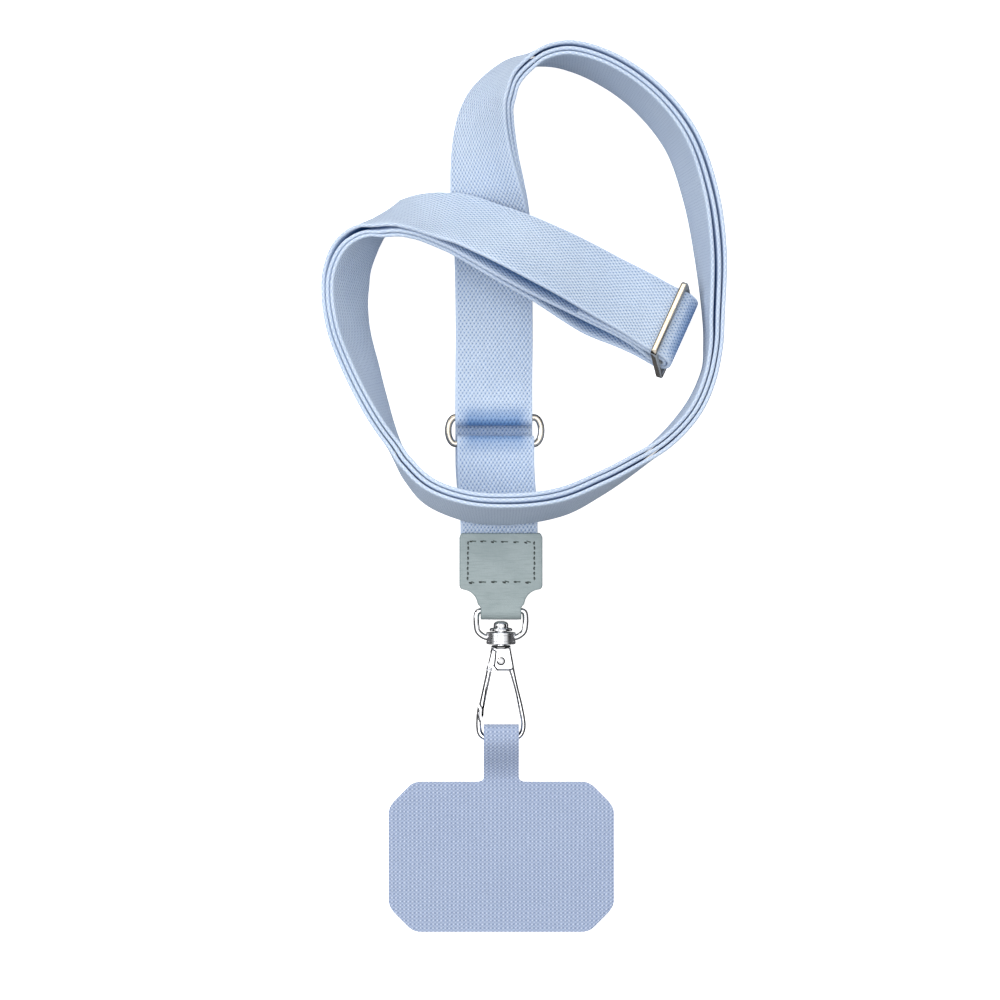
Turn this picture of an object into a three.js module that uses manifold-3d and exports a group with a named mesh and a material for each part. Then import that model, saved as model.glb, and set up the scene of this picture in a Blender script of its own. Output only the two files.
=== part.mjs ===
// Phone crossbody strap, laid flat on a table. Millimetres, +Z up, +Y from the phone patch towards the
// strap. The origin is the centre of the patch's underside.
import * as THREE from "three";
import { mergeVertices } from "three/addons/utils/BufferGeometryUtils.js";
import Module from "manifold-3d";

const wasm = await Module();
wasm.setup();

// Webbing
const webbing_width = 20.5;
const webbing_thickness = 1.0;
const piece_gap = 0.3;
const layer_pitch = webbing_thickness + piece_gap;
const stack_height = 2 * layer_pitch + webbing_thickness;
const flap_length = 26;
const section_step = 3.7;

// Phone patch
const patch_width = 60;
const patch_length = 40;
const patch_thickness = 1.0;
const patch_chamfer = 6.6;
const patch_tab_width = 9.3;
const patch_tab_reach = 11.5;

// Hook and swivel
const hook_x = -0.1;
const hook_drop = 25.0;
const hook_spread = 13.2;
const hook_depth = 2.2;
const hook_bevel = 0.25;
const head_depth = 3.6;
const gate_depth = 1.2;
const slot_gap = 0.2;
const rivet_radius = 0.75;
const rivet_head_radius = 1.15;
const barrel_radius = 3.9;
const barrel_height = 3.2;
const post_radius = 1.5;
const neck_radius = 2.45;
const eye_width = 14.5;
const eye_wire = 1.55;
const eye_reach = 5.6;
const swivel_z = barrel_radius;

// Leather tab
const leather_x = -0.1;
const leather_width = 22;
const leather_thickness = 1.2;
const leather_length = 20.7;
const neck_width = 12.4;
const neck_length = 5.2;

// Oval ring and the short webbing that holds it
const ring_x = -1.75;
const ring_width = 26.5;
const ring_wire = 1.8;
const ring_bars_apart = 7.0;
const ring_end = 1.9;
const ring_webbing_x = -1.5;
const tab_webbing_x = -0.6;
const ring_webbing_length = 24.0;

// Loop of the long webbing
const band_x = -2.0;
const loop_span = 97.7;
const loop_rise = 95.7;

// Slider
const slider_length = 24.6;
const slider_width = 13.4;
const slider_wire = 1.7;
const slider_pitch = 60;
const slider_slide = 0.1;

// Levels and positions that follow from the sizes above
const bow_y = patch_length / 2 + patch_tab_reach;
const barrel_bottom_y = bow_y + hook_drop + piece_gap;
const barrel_top_y = barrel_bottom_y + barrel_height;
const eye_bar_y = barrel_top_y + eye_reach;
const leather_top_y = eye_bar_y + leather_length;
const ring_lower_y = leather_top_y + ring_webbing_length - ring_bars_apart / 2 + 3.2;
const ring_upper_y = ring_lower_y + ring_bars_apart;
const ring_z = webbing_thickness + piece_gap + layer_pitch + ring_wire / 2;
const fold_radius = ring_wire / 2 + piece_gap + webbing_thickness / 2;
const fold_radius_slider = slider_wire / 2 + piece_gap + webbing_thickness / 2;

const rad = THREE.MathUtils.degToRad;
const v3 = (x, y, z) => new THREE.Vector3(x, y, z);
const up = v3(0, 0, 1);

// Solids

function toSolid(geometry) {
  const g = geometry.clone();
  g.deleteAttribute("normal");
  g.deleteAttribute("uv");
  const merged = mergeVertices(g, 1e-4);
  return new wasm.Manifold(
    new wasm.Mesh({
      numProp: 3,
      vertProperties: merged.attributes.position.array,
      triVerts: new Uint32Array(merged.index.array),
    }),
  );
}

function toGeometry(solid) {
  const mesh = solid.getMesh();
  const g = new THREE.BufferGeometry();
  g.setAttribute("position", new THREE.BufferAttribute(new Float32Array(mesh.vertProperties), 3));
  g.setIndex(new THREE.BufferAttribute(new Uint32Array(mesh.triVerts), 1));
  const flat = g.toNonIndexed();
  flat.computeVertexNormals();
  return flat;
}

// Closed skin over rings of points that all have the same count, capped at both ends or joined end to start.
function skin(rings, closed) {
  const count = rings[0].length;
  const positions = rings.flat().flatMap((p) => [p.x, p.y, p.z]);
  const faces = [];
  const steps = closed ? rings.length : rings.length - 1;
  for (let i = 0; i < steps; i += 1) {
    const a = i * count;
    const b = ((i + 1) % rings.length) * count;
    for (let j = 0; j < count; j += 1) {
      const k = (j + 1) % count;
      faces.push(a + j, a + k, b + k, a + j, b + k, b + j);
    }
  }
  if (!closed) {
    const last = (rings.length - 1) * count;
    for (let j = 1; j < count - 1; j += 1) {
      faces.push(0, j + 1, j);
      faces.push(last, last + j, last + j + 1);
    }
  }
  if (signedVolume(positions, faces) < 0) {
    for (let i = 0; i < faces.length; i += 3) {
      [faces[i + 1], faces[i + 2]] = [faces[i + 2], faces[i + 1]];
    }
  }
  const g = new THREE.BufferGeometry();
  g.setAttribute("position", new THREE.Float32BufferAttribute(positions, 3));
  g.setIndex(faces);
  return g;
}

function signedVolume(positions, faces) {
  let sum = 0;
  const at = (i) => v3(positions[3 * i], positions[3 * i + 1], positions[3 * i + 2]);
  for (let i = 0; i < faces.length; i += 3) {
    sum += at(faces[i]).dot(at(faces[i + 1]).cross(at(faces[i + 2])));
  }
  return sum;
}

// Webbing laid along sections, each with the middle point p and the direction w across the webbing.
function webbingSkin(sections) {
  const half_width = webbing_width / 2;
  const half_thickness = webbing_thickness / 2;
  const outline = [
    [-1, -1],
    [-0.34, -1],
    [0.34, -1],
    [1, -1],
    [1, 1],
    [0.34, 1],
    [-0.34, 1],
    [-1, 1],
  ];
  const rings = sections.map((section, i) => {
    const before = sections[Math.max(i - 1, 0)].p;
    const after = sections[Math.min(i + 1, sections.length - 1)].p;
    const t = after.clone().sub(before).normalize();
    const w = section.w.clone().addScaledVector(t, -section.w.dot(t)).normalize();
    const m = t.clone().cross(w);
    return outline.map(([across, through]) =>
      section.p
        .clone()
        .addScaledVector(w, across * half_width)
        .addScaledVector(m, through * half_thickness),
    );
  });
  return skin(rings, false);
}

// Round wire along a path of points.
function wireSkin(points, radius, closed, sides = 12) {
  const n = points.length;
  let across = null;
  const rings = points.map((p, i) => {
    const before = closed ? points[(i + n - 1) % n] : points[Math.max(i - 1, 0)];
    const after = closed ? points[(i + 1) % n] : points[Math.min(i + 1, n - 1)];
    const t = after.clone().sub(before).normalize();
    if (across === null) {
      across = Math.abs(t.z) < 0.9 ? up.clone() : v3(1, 0, 0);
    }
    across.addScaledVector(t, -across.dot(t)).normalize();
    const side = t.clone().cross(across);
    return Array.from({ length: sides }, (_, k) => {
      const a = (2 * Math.PI * k) / sides;
      return p
        .clone()
        .addScaledVector(across, radius * Math.cos(a))
        .addScaledVector(side, radius * Math.sin(a));
    });
  });
  return skin(rings, closed);
}

// Flat outline of a band of even thickness that follows centre points in its plane.
function bandShape(centre, half_thickness) {
  const left = [];
  const right = [];
  centre.forEach(([x, y], i) => {
    const [ax, ay] = centre[Math.max(i - 1, 0)];
    const [bx, by] = centre[Math.min(i + 1, centre.length - 1)];
    const length = Math.hypot(bx - ax, by - ay);
    const nx = (-(by - ay) / length) * half_thickness;
    const ny = ((bx - ax) / length) * half_thickness;
    left.push(new THREE.Vector2(x + nx, y + ny));
    right.push(new THREE.Vector2(x - nx, y - ny));
  });
  return new THREE.Shape([...left, ...right.reverse()]);
}

// Outline in the (Y, Z) plane pushed out along X, centred on x.
function sideways(shape, width, x) {
  const g = new THREE.ExtrudeGeometry(shape, { depth: width, bevelEnabled: false });
  const turn = new THREE.Matrix4().set(0, 0, 1, x - width / 2, 1, 0, 0, 0, 0, 1, 0, 0, 0, 0, 0, 1);
  return g.applyMatrix4(turn);
}

// Outline in the (X, Y) plane pushed out along Z from z to z + depth.
function upright(shape, z, depth, bevel = 0) {
  const g = new THREE.ExtrudeGeometry(shape, {
    depth: depth - 2 * bevel,
    bevelEnabled: bevel > 0,
    bevelThickness: bevel,
    bevelSize: bevel,
    bevelOffset: -bevel,
    bevelSegments: 2,
    curveSegments: 8,
  });
  return g.translate(0, 0, z + bevel);
}

function arc(cx, cy, radius, from, to, steps) {
  return Array.from({ length: steps + 1 }, (_, i) => {
    const a = rad(from + ((to - from) * i) / steps);
    return [cx + radius * Math.cos(a), cy + radius * Math.sin(a)];
  });
}

// The loop's course, from the ring's upper bar clockwise to the slider. across and along are shares of
// loop_span and loop_rise from the bar; lean is the angle the webbing stands at in degrees, past 90 it leans
// out of the loop; lift is the height of its lower edge in shares of stack_height; front_gap and back_gap are
// the extra room between the middle layer and the layer in front or behind, in shares of webbing_thickness.
const course_columns = ["across", "along", "lean", "lift", "front_gap", "back_gap"];
const course_rows = [
  [0.0, 0.0, 0, 0.0, 2.1, 0.0],
  [0.0, 0.045, 0, 0.0, 1.2, 0.0],
  [0.0, 0.105, 0, 0.0, 0.3, 0.0],
  [0.001, 0.246, 0, 0.03, 0.0, 0.0],
  [-0.002, 0.454, 1, 0.04, 0.0, 0.0],
  [-0.005, 0.526, 7, 0.0, 0.0, 0.0],
  [-0.011, 0.584, 15, 0.0, 0.0, 0.0],
  [-0.018, 0.645, 27, 0.0, 0.0, 0.0],
  [-0.024, 0.715, 38, 0.0, 0.1, 0.0],
  [-0.025, 0.772, 45, 0.0, 0.1, 0.1],
  [-0.02, 0.823, 51, 0.0, 0.1, 0.1],
  [-0.007, 0.87, 58, 0.0, 0.1, 0.2],
  [0.015, 0.909, 65, 0.0, 0.1, 0.2],
  [0.04, 0.941, 72, 0.01, 0.2, 0.1],
  [0.071, 0.965, 77, 0.01, 0.3, 0.1],
  [0.131, 0.99, 87, 0.0, 0.4, 0.0],
  [0.205, 0.992, 95, 0.0, 0.4, 0.0],
  [0.305, 0.955, 99, 0.0, 0.4, 0.0],
  [0.41, 0.879, 101, 0.0, 0.4, 0.0],
  [0.502, 0.764, 102, 0.0, 0.4, 0.1],
  [0.557, 0.612, 102, 0.0, 0.4, 0.3],
  [0.585, 0.451, 99, 0.0, 0.3, 0.5],
  [0.594, 0.277, 92, 0.0, 0.1, 0.4],
  [0.593, 0.201, 91, 0.0, 0.0, 0.2],
  [0.582, 0.124, 90, 0.0, 0.0, 0.0],
  [0.54, 0.025, 92, 0.01, 0.0, 0.0],
  [0.464, -0.065, 91, 0.02, 0.1, 0.0],
  [0.38, -0.127, 87, 0.14, 0.2, 0.0],
  [0.286, -0.184, 83, 0.83, 0.3, 0.0],
  [0.183, -0.232, 79, 1.67, 0.3, 0.0],
  [0.066, -0.252, 77, 2.0, 0.3, 0.0],
  [-0.063, -0.247, 77, 1.94, 0.2, 0.0],
  [-0.169, -0.207, 80, 1.33, 0.2, 0.0],
  [-0.23, -0.147, 85, 0.61, 0.1, 0.0],
  [-0.27, -0.078, 90, 0.14, 0.0, 0.0],
  [-0.315, 0.019, 99, 0.01, 0.0, 0.0],
  [-0.357, 0.131, 107, 0.01, 0.0, 0.0],
  [-0.392, 0.245, 112, 0.01, 0.0, 0.0],
  [-0.401, 0.344, 115, 0.0, 0.0, 0.0],
  [-0.387, 0.426, 112, 0.0, 0.4, 0.0],
  [-0.352, 0.484, 102, 0.17, 0.9, 0.0],
  [-0.312, 0.519, 88, 0.61, 1.0, 0.0],
  [-0.264, 0.539, 71, 1.11, 0.6, 0.0],
  [-0.232, 0.544, 63, 1.28, 0.2, 0.0],
  [-0.191, 0.545, 56, 1.39, 0.0, 0.0],
  [-0.141, 0.538, 50, 1.47, 0.3, 0.0],
  [-0.087, 0.522, 46, 1.61, 1.0, 0.0],
  [-0.018, 0.487, 43, 1.94, 2.1, 0.1],
  [0.059, 0.446, 39, 2.3, 3.3, 0.3],
  [0.141, 0.406, 36, 2.15, 3.6, 0.8],
  [0.224, 0.369, 33, 1.9, 3.0, 2.9],
  [0.299, 0.334, 31, 1.7, 2.2, 4.1],
  [0.374, 0.299, 29, 1.5, 1.6, 3.2],
  [0.433, 0.266, 27, 1.2, 1.5, 2.0],
  [0.482, 0.239, 24, 1.11, 1.6, 1.6],
];
const course = course_rows.map((row) => Object.fromEntries(course_columns.map((name, i) => [name, row[i]])));

// Spreads that the fold round the ring and the turn through the slider need.
course[0].front_gap = (2 * fold_radius - layer_pitch) / webbing_thickness;
course[course.length - 1].front_gap = (fold_radius_slider + piece_gap) / webbing_thickness;
course[course.length - 1].back_gap = (fold_radius_slider + piece_gap) / webbing_thickness;

const line = new THREE.CatmullRomCurve3(
  course.map((c) => {
    const lean = rad(c.lean);
    const lift = c.lift * stack_height;
    const spread = c.lean > 90 ? c.front_gap * webbing_thickness : 0;
    const rise = (webbing_width / 2) * Math.sin(lean) + (stack_height / 2 + spread) * Math.abs(Math.cos(lean));
    return v3(band_x + c.across * loop_span, ring_upper_y + c.along * loop_rise, lift + rise);
  }),
  false,
  "centripetal",
);
const gaps = new THREE.CatmullRomCurve3(course.map((c) => v3(rad(c.lean), c.front_gap, c.back_gap)));

// Section of the loop at share u of its rows: middle point, direction across and direction to the front.
function loopFrame(u) {
  const p = line.getPoint(u);
  const t = line.getTangent(u);
  const extra = gaps.getPoint(u);
  const inward = v3(t.y, -t.x, 0).normalize();
  const w = inward.clone().multiplyScalar(Math.cos(extra.x)).addScaledVector(up, Math.sin(extra.x));
  w.addScaledVector(t, -w.dot(t)).normalize();
  const front = w.clone().cross(t).normalize();
  return {
    p,
    t,
    w,
    front,
    front_gap: Math.max(extra.y, 0) * webbing_thickness,
    back_gap: Math.max(extra.z, 0) * webbing_thickness,
  };
}

// Even steps along the loop, kept short where it bends most.
function loopSteps() {
  const rows = course.length - 1;
  const steps = [];
  for (let i = 0; i < rows; i += 1) {
    const a = line.getPoint(i / rows);
    const b = line.getPoint((i + 1) / rows);
    const parts = Math.max(1, Math.round(a.distanceTo(b) / section_step));
    for (let k = 0; k < parts; k += 1) {
      steps.push((i + k / parts) / rows);
    }
  }
  steps.push(1);
  return steps;
}

const frames = loopSteps().map(loopFrame);
let length_left = 0;
for (let i = frames.length - 1; i >= 0; i -= 1) {
  if (i < frames.length - 1) {
    length_left += frames[i].p.distanceTo(frames[i + 1].p);
  }
  frames[i].from_slider = length_left;
}

// Share of the way from the loop's own level to the slider's bar, over the last part of the webbing.
const slider_run = 9;
const nearSlider = (frame) => THREE.MathUtils.smoothstep(slider_run - frame.from_slider, 0, slider_run);

const offsetOf = {
  front: (f) => layer_pitch + f.front_gap,
  middle: (f) => -fold_radius_slider * nearSlider(f),
  back: (f) => -layer_pitch - f.back_gap,
  flap: (f) => THREE.MathUtils.lerp(layer_pitch, fold_radius_slider, nearSlider(f)),
};

function layer(name, chosen) {
  return chosen.map((f) => ({ p: f.p.clone().addScaledVector(f.front, offsetOf[name](f)), w: f.w }));
}

const at_ring = frames[0];
const at_slider = frames[frames.length - 1];

// Half turns about the slider's middle bar; from and to are angles in the plane of travel and front.
function sliderTurn(radius, steps) {
  const sections = [];
  for (let i = 1; i < steps; i += 1) {
    const a = Math.PI / 2 - (Math.PI * i) / steps;
    const p = at_slider.p
      .clone()
      .addScaledVector(at_slider.t, radius * Math.cos(a))
      .addScaledVector(at_slider.front, radius * Math.sin(a));
    sections.push({ p, w: at_slider.w });
  }
  return sections;
}

function ringTurn(steps) {
  const z = at_ring.p.z + fold_radius;
  const sections = [];
  for (let i = 1; i < steps; i += 1) {
    const a = (Math.PI * i) / steps;
    const p = v3(at_ring.p.x, ring_upper_y - fold_radius * Math.sin(a), z - fold_radius * Math.cos(a));
    sections.push({ p, w: v3(1, 0, 0) });
  }
  return sections;
}

// Levels of the webbing layers inside the leather tab.
const leather_levels = {
  back: leather_thickness + piece_gap + webbing_thickness / 2,
  ring_back: leather_thickness + piece_gap + webbing_thickness / 2 + layer_pitch,
  ring_front: leather_thickness + piece_gap + webbing_thickness / 2 + 2 * layer_pitch,
};
const webbing_end_y = leather_top_y - leather_length + neck_length + 3;

// Share of the way from the ring's level to the leather tab's, and the stations it is used at.
const tab_run_y = ring_lower_y - 4;
const nearTab = (y) => THREE.MathUtils.smoothstep(tab_run_y - y, 0, tab_run_y - leather_top_y - 1);
const tab_stations = [webbing_end_y, leather_top_y - 1];
for (let i = 1; i <= 7; i += 1) {
  tab_stations.push(THREE.MathUtils.lerp(leather_top_y - 1, ring_lower_y, i / 7));
}

function leatherTail() {
  return [...tab_stations].reverse().map((y) => ({
    p: v3(
      THREE.MathUtils.lerp(at_ring.p.x, tab_webbing_x, nearTab(y)),
      y,
      THREE.MathUtils.lerp(webbing_thickness / 2, leather_levels.back, nearTab(y)),
    ),
    w: v3(1, 0, 0),
  }));
}

function strapWebbing() {
  const sewn = frames.filter((f) => f.from_slider < flap_length);
  return webbingSkin([
    ...layer("flap", sewn),
    ...sliderTurn(fold_radius_slider, 7),
    ...layer("middle", frames).reverse(),
    ...ringTurn(8),
    ...layer("front", frames),
    ...sliderTurn(fold_radius_slider + layer_pitch, 10),
    ...layer("back", frames).reverse(),
    ...leatherTail(),
  ]);
}

// Short webbing: from the leather tab over the ring's lower bar and back under it.
function ringWebbing() {
  const rest = (y, ring_level, leather_level) => THREE.MathUtils.lerp(ring_level, leather_level, nearTab(y));
  const front = tab_stations.map((y) => [y, rest(y, ring_z + fold_radius, leather_levels.ring_front)]);
  const back = tab_stations.map((y) => [y, rest(y, ring_z - fold_radius, leather_levels.ring_back)]);
  const turn = arc(ring_lower_y, ring_z, fold_radius, 90, -90, 8).slice(1, -1);
  return webbingSkin(
    [...front, ...turn, ...back.reverse()].map(([y, z]) => ({
      p: v3(rest(y, ring_webbing_x, tab_webbing_x), y, z),
      w: v3(1, 0, 0),
    })),
  );
}

// Leather folded round the eye's bar, cut to the tab's outline.
function leatherTab() {
  const half = leather_thickness / 2;
  const front_z = leather_levels.ring_front + webbing_thickness / 2 + piece_gap + half;
  const fold = eye_wire / 2 + piece_gap + half;
  const shoulder_y = eye_bar_y + neck_length + 0.6;
  const centre = [
    [leather_top_y, front_z],
    [shoulder_y + 3.5, front_z],
    [shoulder_y + 1.2, front_z - 0.15 * (front_z - swivel_z - fold)],
    [shoulder_y - 3.2, swivel_z + fold + 0.1],
    ...arc(eye_bar_y, swivel_z, fold, 90, 270, 10),
    [shoulder_y - 3.2, swivel_z - fold - 0.1],
    [shoulder_y + 1.2, half + 0.15 * (swivel_z - fold - half)],
    [shoulder_y + 3.5, half],
    [leather_top_y, half],
  ];
  const folded = sideways(bandShape(centre, half), leather_width, leather_x);
  const side = leather_width / 2;
  const neck = neck_width / 2;
  const slim = eye_width / 2 - eye_wire - piece_gap;
  const shoulder_radius = side - neck - 0.6;
  const right = [
    [slim, eye_bar_y - 4],
    [slim, eye_bar_y + eye_wire / 2 + piece_gap],
    [neck, eye_bar_y + eye_wire / 2 + piece_gap + 0.9],
    ...arc(side - 0.6, shoulder_y - shoulder_radius, shoulder_radius, 180, 90, 6),
    [side - 0.1, shoulder_y + 0.3],
    [side, shoulder_y + 1],
    [side, leather_top_y - 1.0],
    [side - 1.1, leather_top_y + 1],
  ];
  const outline = [...right, ...right.map(([x, y]) => [-x, y]).reverse()];
  const shape = new THREE.Shape(outline.map(([x, y]) => new THREE.Vector2(leather_x + x, y)));
  return toGeometry(toSolid(folded).intersect(toSolid(upright(shape, -1, 12))));
}

function ovalRing() {
  const half = (ring_width - ring_wire) / 2 - ring_end;
  const y = (ring_upper_y + ring_lower_y) / 2;
  const path = [...arc(0, 0, 1, -90, 90, 10), ...arc(0, 0, 1, 90, 270, 10)].map(([a, b], i) =>
    v3(ring_x + (i < 11 ? half : -half) + a * ring_end, y + (b * ring_bars_apart) / 2, ring_z),
  );
  return wireSkin(path, ring_wire / 2, true);
}

// Three-bar slider, its middle bar in the webbing's fold, its right bar on the table.
function sliderFrame() {
  const half_long = (slider_length - slider_wire) / 2;
  const half_wide = (slider_width - slider_wire) / 2;
  const corner = 2.0;
  const path = [
    ...arc(half_long - corner, half_wide - corner, corner, 0, 90, 4),
    ...arc(corner - half_long, half_wide - corner, corner, 90, 180, 4),
    ...arc(corner - half_long, corner - half_wide, corner, 180, 270, 4),
    ...arc(half_long - corner, corner - half_wide, corner, 270, 360, 4),
  ];
  const loop = wireSkin(
    path.map(([x, y]) => v3(x, y, 0)),
    slider_wire / 2,
    true,
  );
  const bar = new THREE.CylinderGeometry(slider_wire / 2, slider_wire / 2, 2 * half_long, 12);
  bar.rotateZ(Math.PI / 2);
  const joined = toGeometry(toSolid(loop).add(toSolid(bar)));
  const pitch = rad(slider_pitch);
  const along = at_slider.w;
  const over = at_slider.t.clone().multiplyScalar(Math.cos(pitch)).addScaledVector(at_slider.front, -Math.sin(pitch));
  const normal = along.clone().cross(over);
  const place = new THREE.Matrix4().makeBasis(along, over, normal);
  place.setPosition(at_slider.p.clone().addScaledVector(along, slider_slide));
  return joined.applyMatrix4(place);
}

// D-shaped eye with the swivel's barrel, bored for the hook's post.
function swivelEye() {
  const side = (eye_width - eye_wire) / 2;
  const rows = [
    [-0.42, -0.1],
    [-0.7, -0.04],
    [-0.94, 0.16],
    [-1, 0.4],
    [-1, 0.84],
    [-0.96, 0.95],
    [-0.86, 1],
    [0.86, 1],
    [0.96, 0.95],
    [1, 0.84],
    [1, 0.4],
    [0.94, 0.16],
    [0.7, -0.04],
    [0.42, -0.1],
  ];
  const path = rows.map(([across, along]) => v3(hook_x + across * side, barrel_top_y + along * eye_reach - 0.9 * (1 - along), swivel_z));
  const wire = wireSkin(path, eye_wire / 2, false, 10);
  const edge = 0.35;
  const barrel = turned(
    [
      [0, barrel_bottom_y],
      [barrel_radius - edge, barrel_bottom_y],
      [barrel_radius, barrel_bottom_y + edge],
      [barrel_radius, barrel_top_y - edge],
      [barrel_radius - edge, barrel_top_y],
      [0, barrel_top_y],
    ],
    28,
  );
  const bore_radius = post_radius + piece_gap;
  const bore = turned(
    [
      [0, barrel_bottom_y - 1],
      [bore_radius, barrel_bottom_y - 1],
      [bore_radius, barrel_top_y + 3],
      [0, barrel_top_y + 3],
    ],
    20,
  );
  return toGeometry(toSolid(wire).add(toSolid(barrel)).subtract(toSolid(bore)));
}

// Solid turned about the swivel's axis.
function turned(rows, sides) {
  const g = new THREE.LatheGeometry(
    rows.map(([r, y]) => new THREE.Vector2(r, y)),
    sides,
  );
  return g.translate(hook_x, 0, swivel_z);
}

// The hook's outlines: across in shares of hook_spread from its axis, down in shares of hook_drop from its neck.
const hook_outer = [
  [0.165, 0.0],
  [0.185, 0.03],
  [0.26, 0.21],
  [0.343, 0.41],
  [0.435, 0.605],
  [0.485, 0.74],
  [0.5, 0.83],
  [0.468, 0.905],
  [0.385, 0.96],
  [0.185, 0.99],
  [0.0, 1.0],
  [-0.185, 0.993],
  [-0.4, 0.96],
  [-0.476, 0.91],
  [-0.5, 0.84],
  [-0.495, 0.72],
  [-0.47, 0.625],
];
const hook_inner = [
  [-0.42, 0.672],
  [-0.42, 0.755],
  [-0.395, 0.785],
  [-0.395, 0.84],
  [-0.378, 0.888],
  [-0.33, 0.918],
  [-0.2, 0.938],
  [0.0, 0.942],
  [0.2, 0.938],
  [0.33, 0.918],
  [0.385, 0.88],
  [0.402, 0.82],
  [0.398, 0.77],
  [0.36, 0.67],
  [0.29, 0.485],
  [0.2, 0.32],
  [0.15, 0.262],
  [-0.14, 0.262],
];
const cheek_side = [
  [-0.2, 0.235],
  [-0.275, 0.18],
  [-0.235, 0.06],
  [-0.185, 0.03],
  [-0.165, 0.0],
];
const gate_outline = [
  [-0.03, 0.235],
  [-0.13, 0.295],
  [-0.17, 0.35],
  [-0.33, 0.64],
  [-0.35, 0.74],
  [-0.392, 0.74],
  [-0.392, 0.655],
  [-0.44, 0.6],
  [-0.31, 0.29],
  [-0.28, 0.23],
  [-0.23, 0.12],
  [-0.06, 0.075],
];
const rivet_down = 0.147;
const hook_top_y = bow_y + hook_drop - 0.4;
const hook_length = (hook_top_y - bow_y) / 0.971;
const rivet_y = hook_top_y - rivet_down * hook_length;

const hookPoint = ([across, down]) =>
  new THREE.Vector2(hook_x + across * hook_spread, hook_top_y - down * hook_length);

function disc(radius, z, depth, sides = 20) {
  const g = new THREE.CylinderGeometry(radius, radius, depth, sides);
  return g.rotateX(Math.PI / 2).translate(hook_x, rivet_y, z + depth / 2);
}

function snapHook() {
  const body = new THREE.Shape([...hook_outer, ...hook_inner, ...cheek_side].map(hookPoint));
  const arm = toSolid(upright(body, swivel_z - hook_depth / 2, hook_depth, hook_bevel));
  const head_rows = [
    [0.165, 0.0],
    [0.185, 0.03],
    [0.265, 0.215],
    [0.2, 0.262],
    [-0.14, 0.262],
    ...cheek_side,
  ];
  const head_shape = new THREE.Shape(head_rows.map(hookPoint));
  const head = toSolid(upright(head_shape, swivel_z - head_depth / 2, head_depth, hook_bevel));
  const flange_y = barrel_top_y + piece_gap;
  const post = toSolid(
    turned(
      [
        [0, hook_top_y - 0.6],
        [neck_radius - 0.35, hook_top_y - 0.6],
        [neck_radius, hook_top_y - 0.25],
        [neck_radius, barrel_bottom_y - piece_gap],
        [post_radius, barrel_bottom_y - piece_gap],
        [post_radius, flange_y],
        [2.85, flange_y],
        [3.05, flange_y + 0.2],
        [2.9, flange_y + 0.75],
        [1.95, flange_y + 0.85],
        [1.95, flange_y + 1.7],
        [1.3, flange_y + 2.4],
        [0, flange_y + 2.65],
      ],
      24,
    ),
  );
  const slot_depth = gate_depth + 2 * slot_gap;
  const slot_z = swivel_z - slot_depth / 2;
  const slot_rows = [
    [0.1, 0.4],
    [0.02, 0.3],
    [0.15, 0.235],
    [0.175, 0.147],
    [0.12, 0.085],
    [0.0, 0.055],
    [-0.1, 0.06],
    [-0.5, 0.06],
    [-0.6, 0.4],
  ];
  const slot = toSolid(upright(new THREE.Shape(slot_rows.map(hookPoint)), slot_z, slot_depth));
  const bore = toSolid(disc(rivet_radius + 0.15, swivel_z - 4, 8));
  return toGeometry(head.subtract(slot).subtract(bore).add(arm.subtract(slot).subtract(bore)).add(post));
}

function hookGate() {
  const outline = new THREE.Shape(gate_outline.map(hookPoint));
  const plate = toSolid(upright(outline, swivel_z - gate_depth / 2, gate_depth));
  const boss = toSolid(disc(1.75, swivel_z - gate_depth / 2, gate_depth));
  const deep = toSolid(upright(outline, swivel_z - hook_depth / 2, hook_depth, hook_bevel));
  const reach = toSolid(disc(4.9, swivel_z - 4, 8, 32));
  const bore = toSolid(disc(rivet_radius + 0.15, swivel_z - 4, 8));
  return toGeometry(plate.add(boss).subtract(bore).add(deep.subtract(reach)));
}

function gateRivet() {
  const reach = head_depth / 2 + 0.1;
  const rows = [
    [0, -reach - 0.35],
    [rivet_head_radius - 0.25, -reach - 0.35],
    [rivet_head_radius, -reach - 0.1],
    [rivet_head_radius, -reach],
    [rivet_radius, -reach],
    [rivet_radius, reach],
    [rivet_head_radius, reach],
    [rivet_head_radius, reach + 0.1],
    [rivet_head_radius - 0.25, reach + 0.35],
    [0, reach + 0.35],
  ];
  const g = new THREE.LatheGeometry(
    rows.map(([r, y]) => new THREE.Vector2(r, y)),
    20,
  );
  return g.rotateX(Math.PI / 2).translate(hook_x, rivet_y, swivel_z);
}

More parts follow.
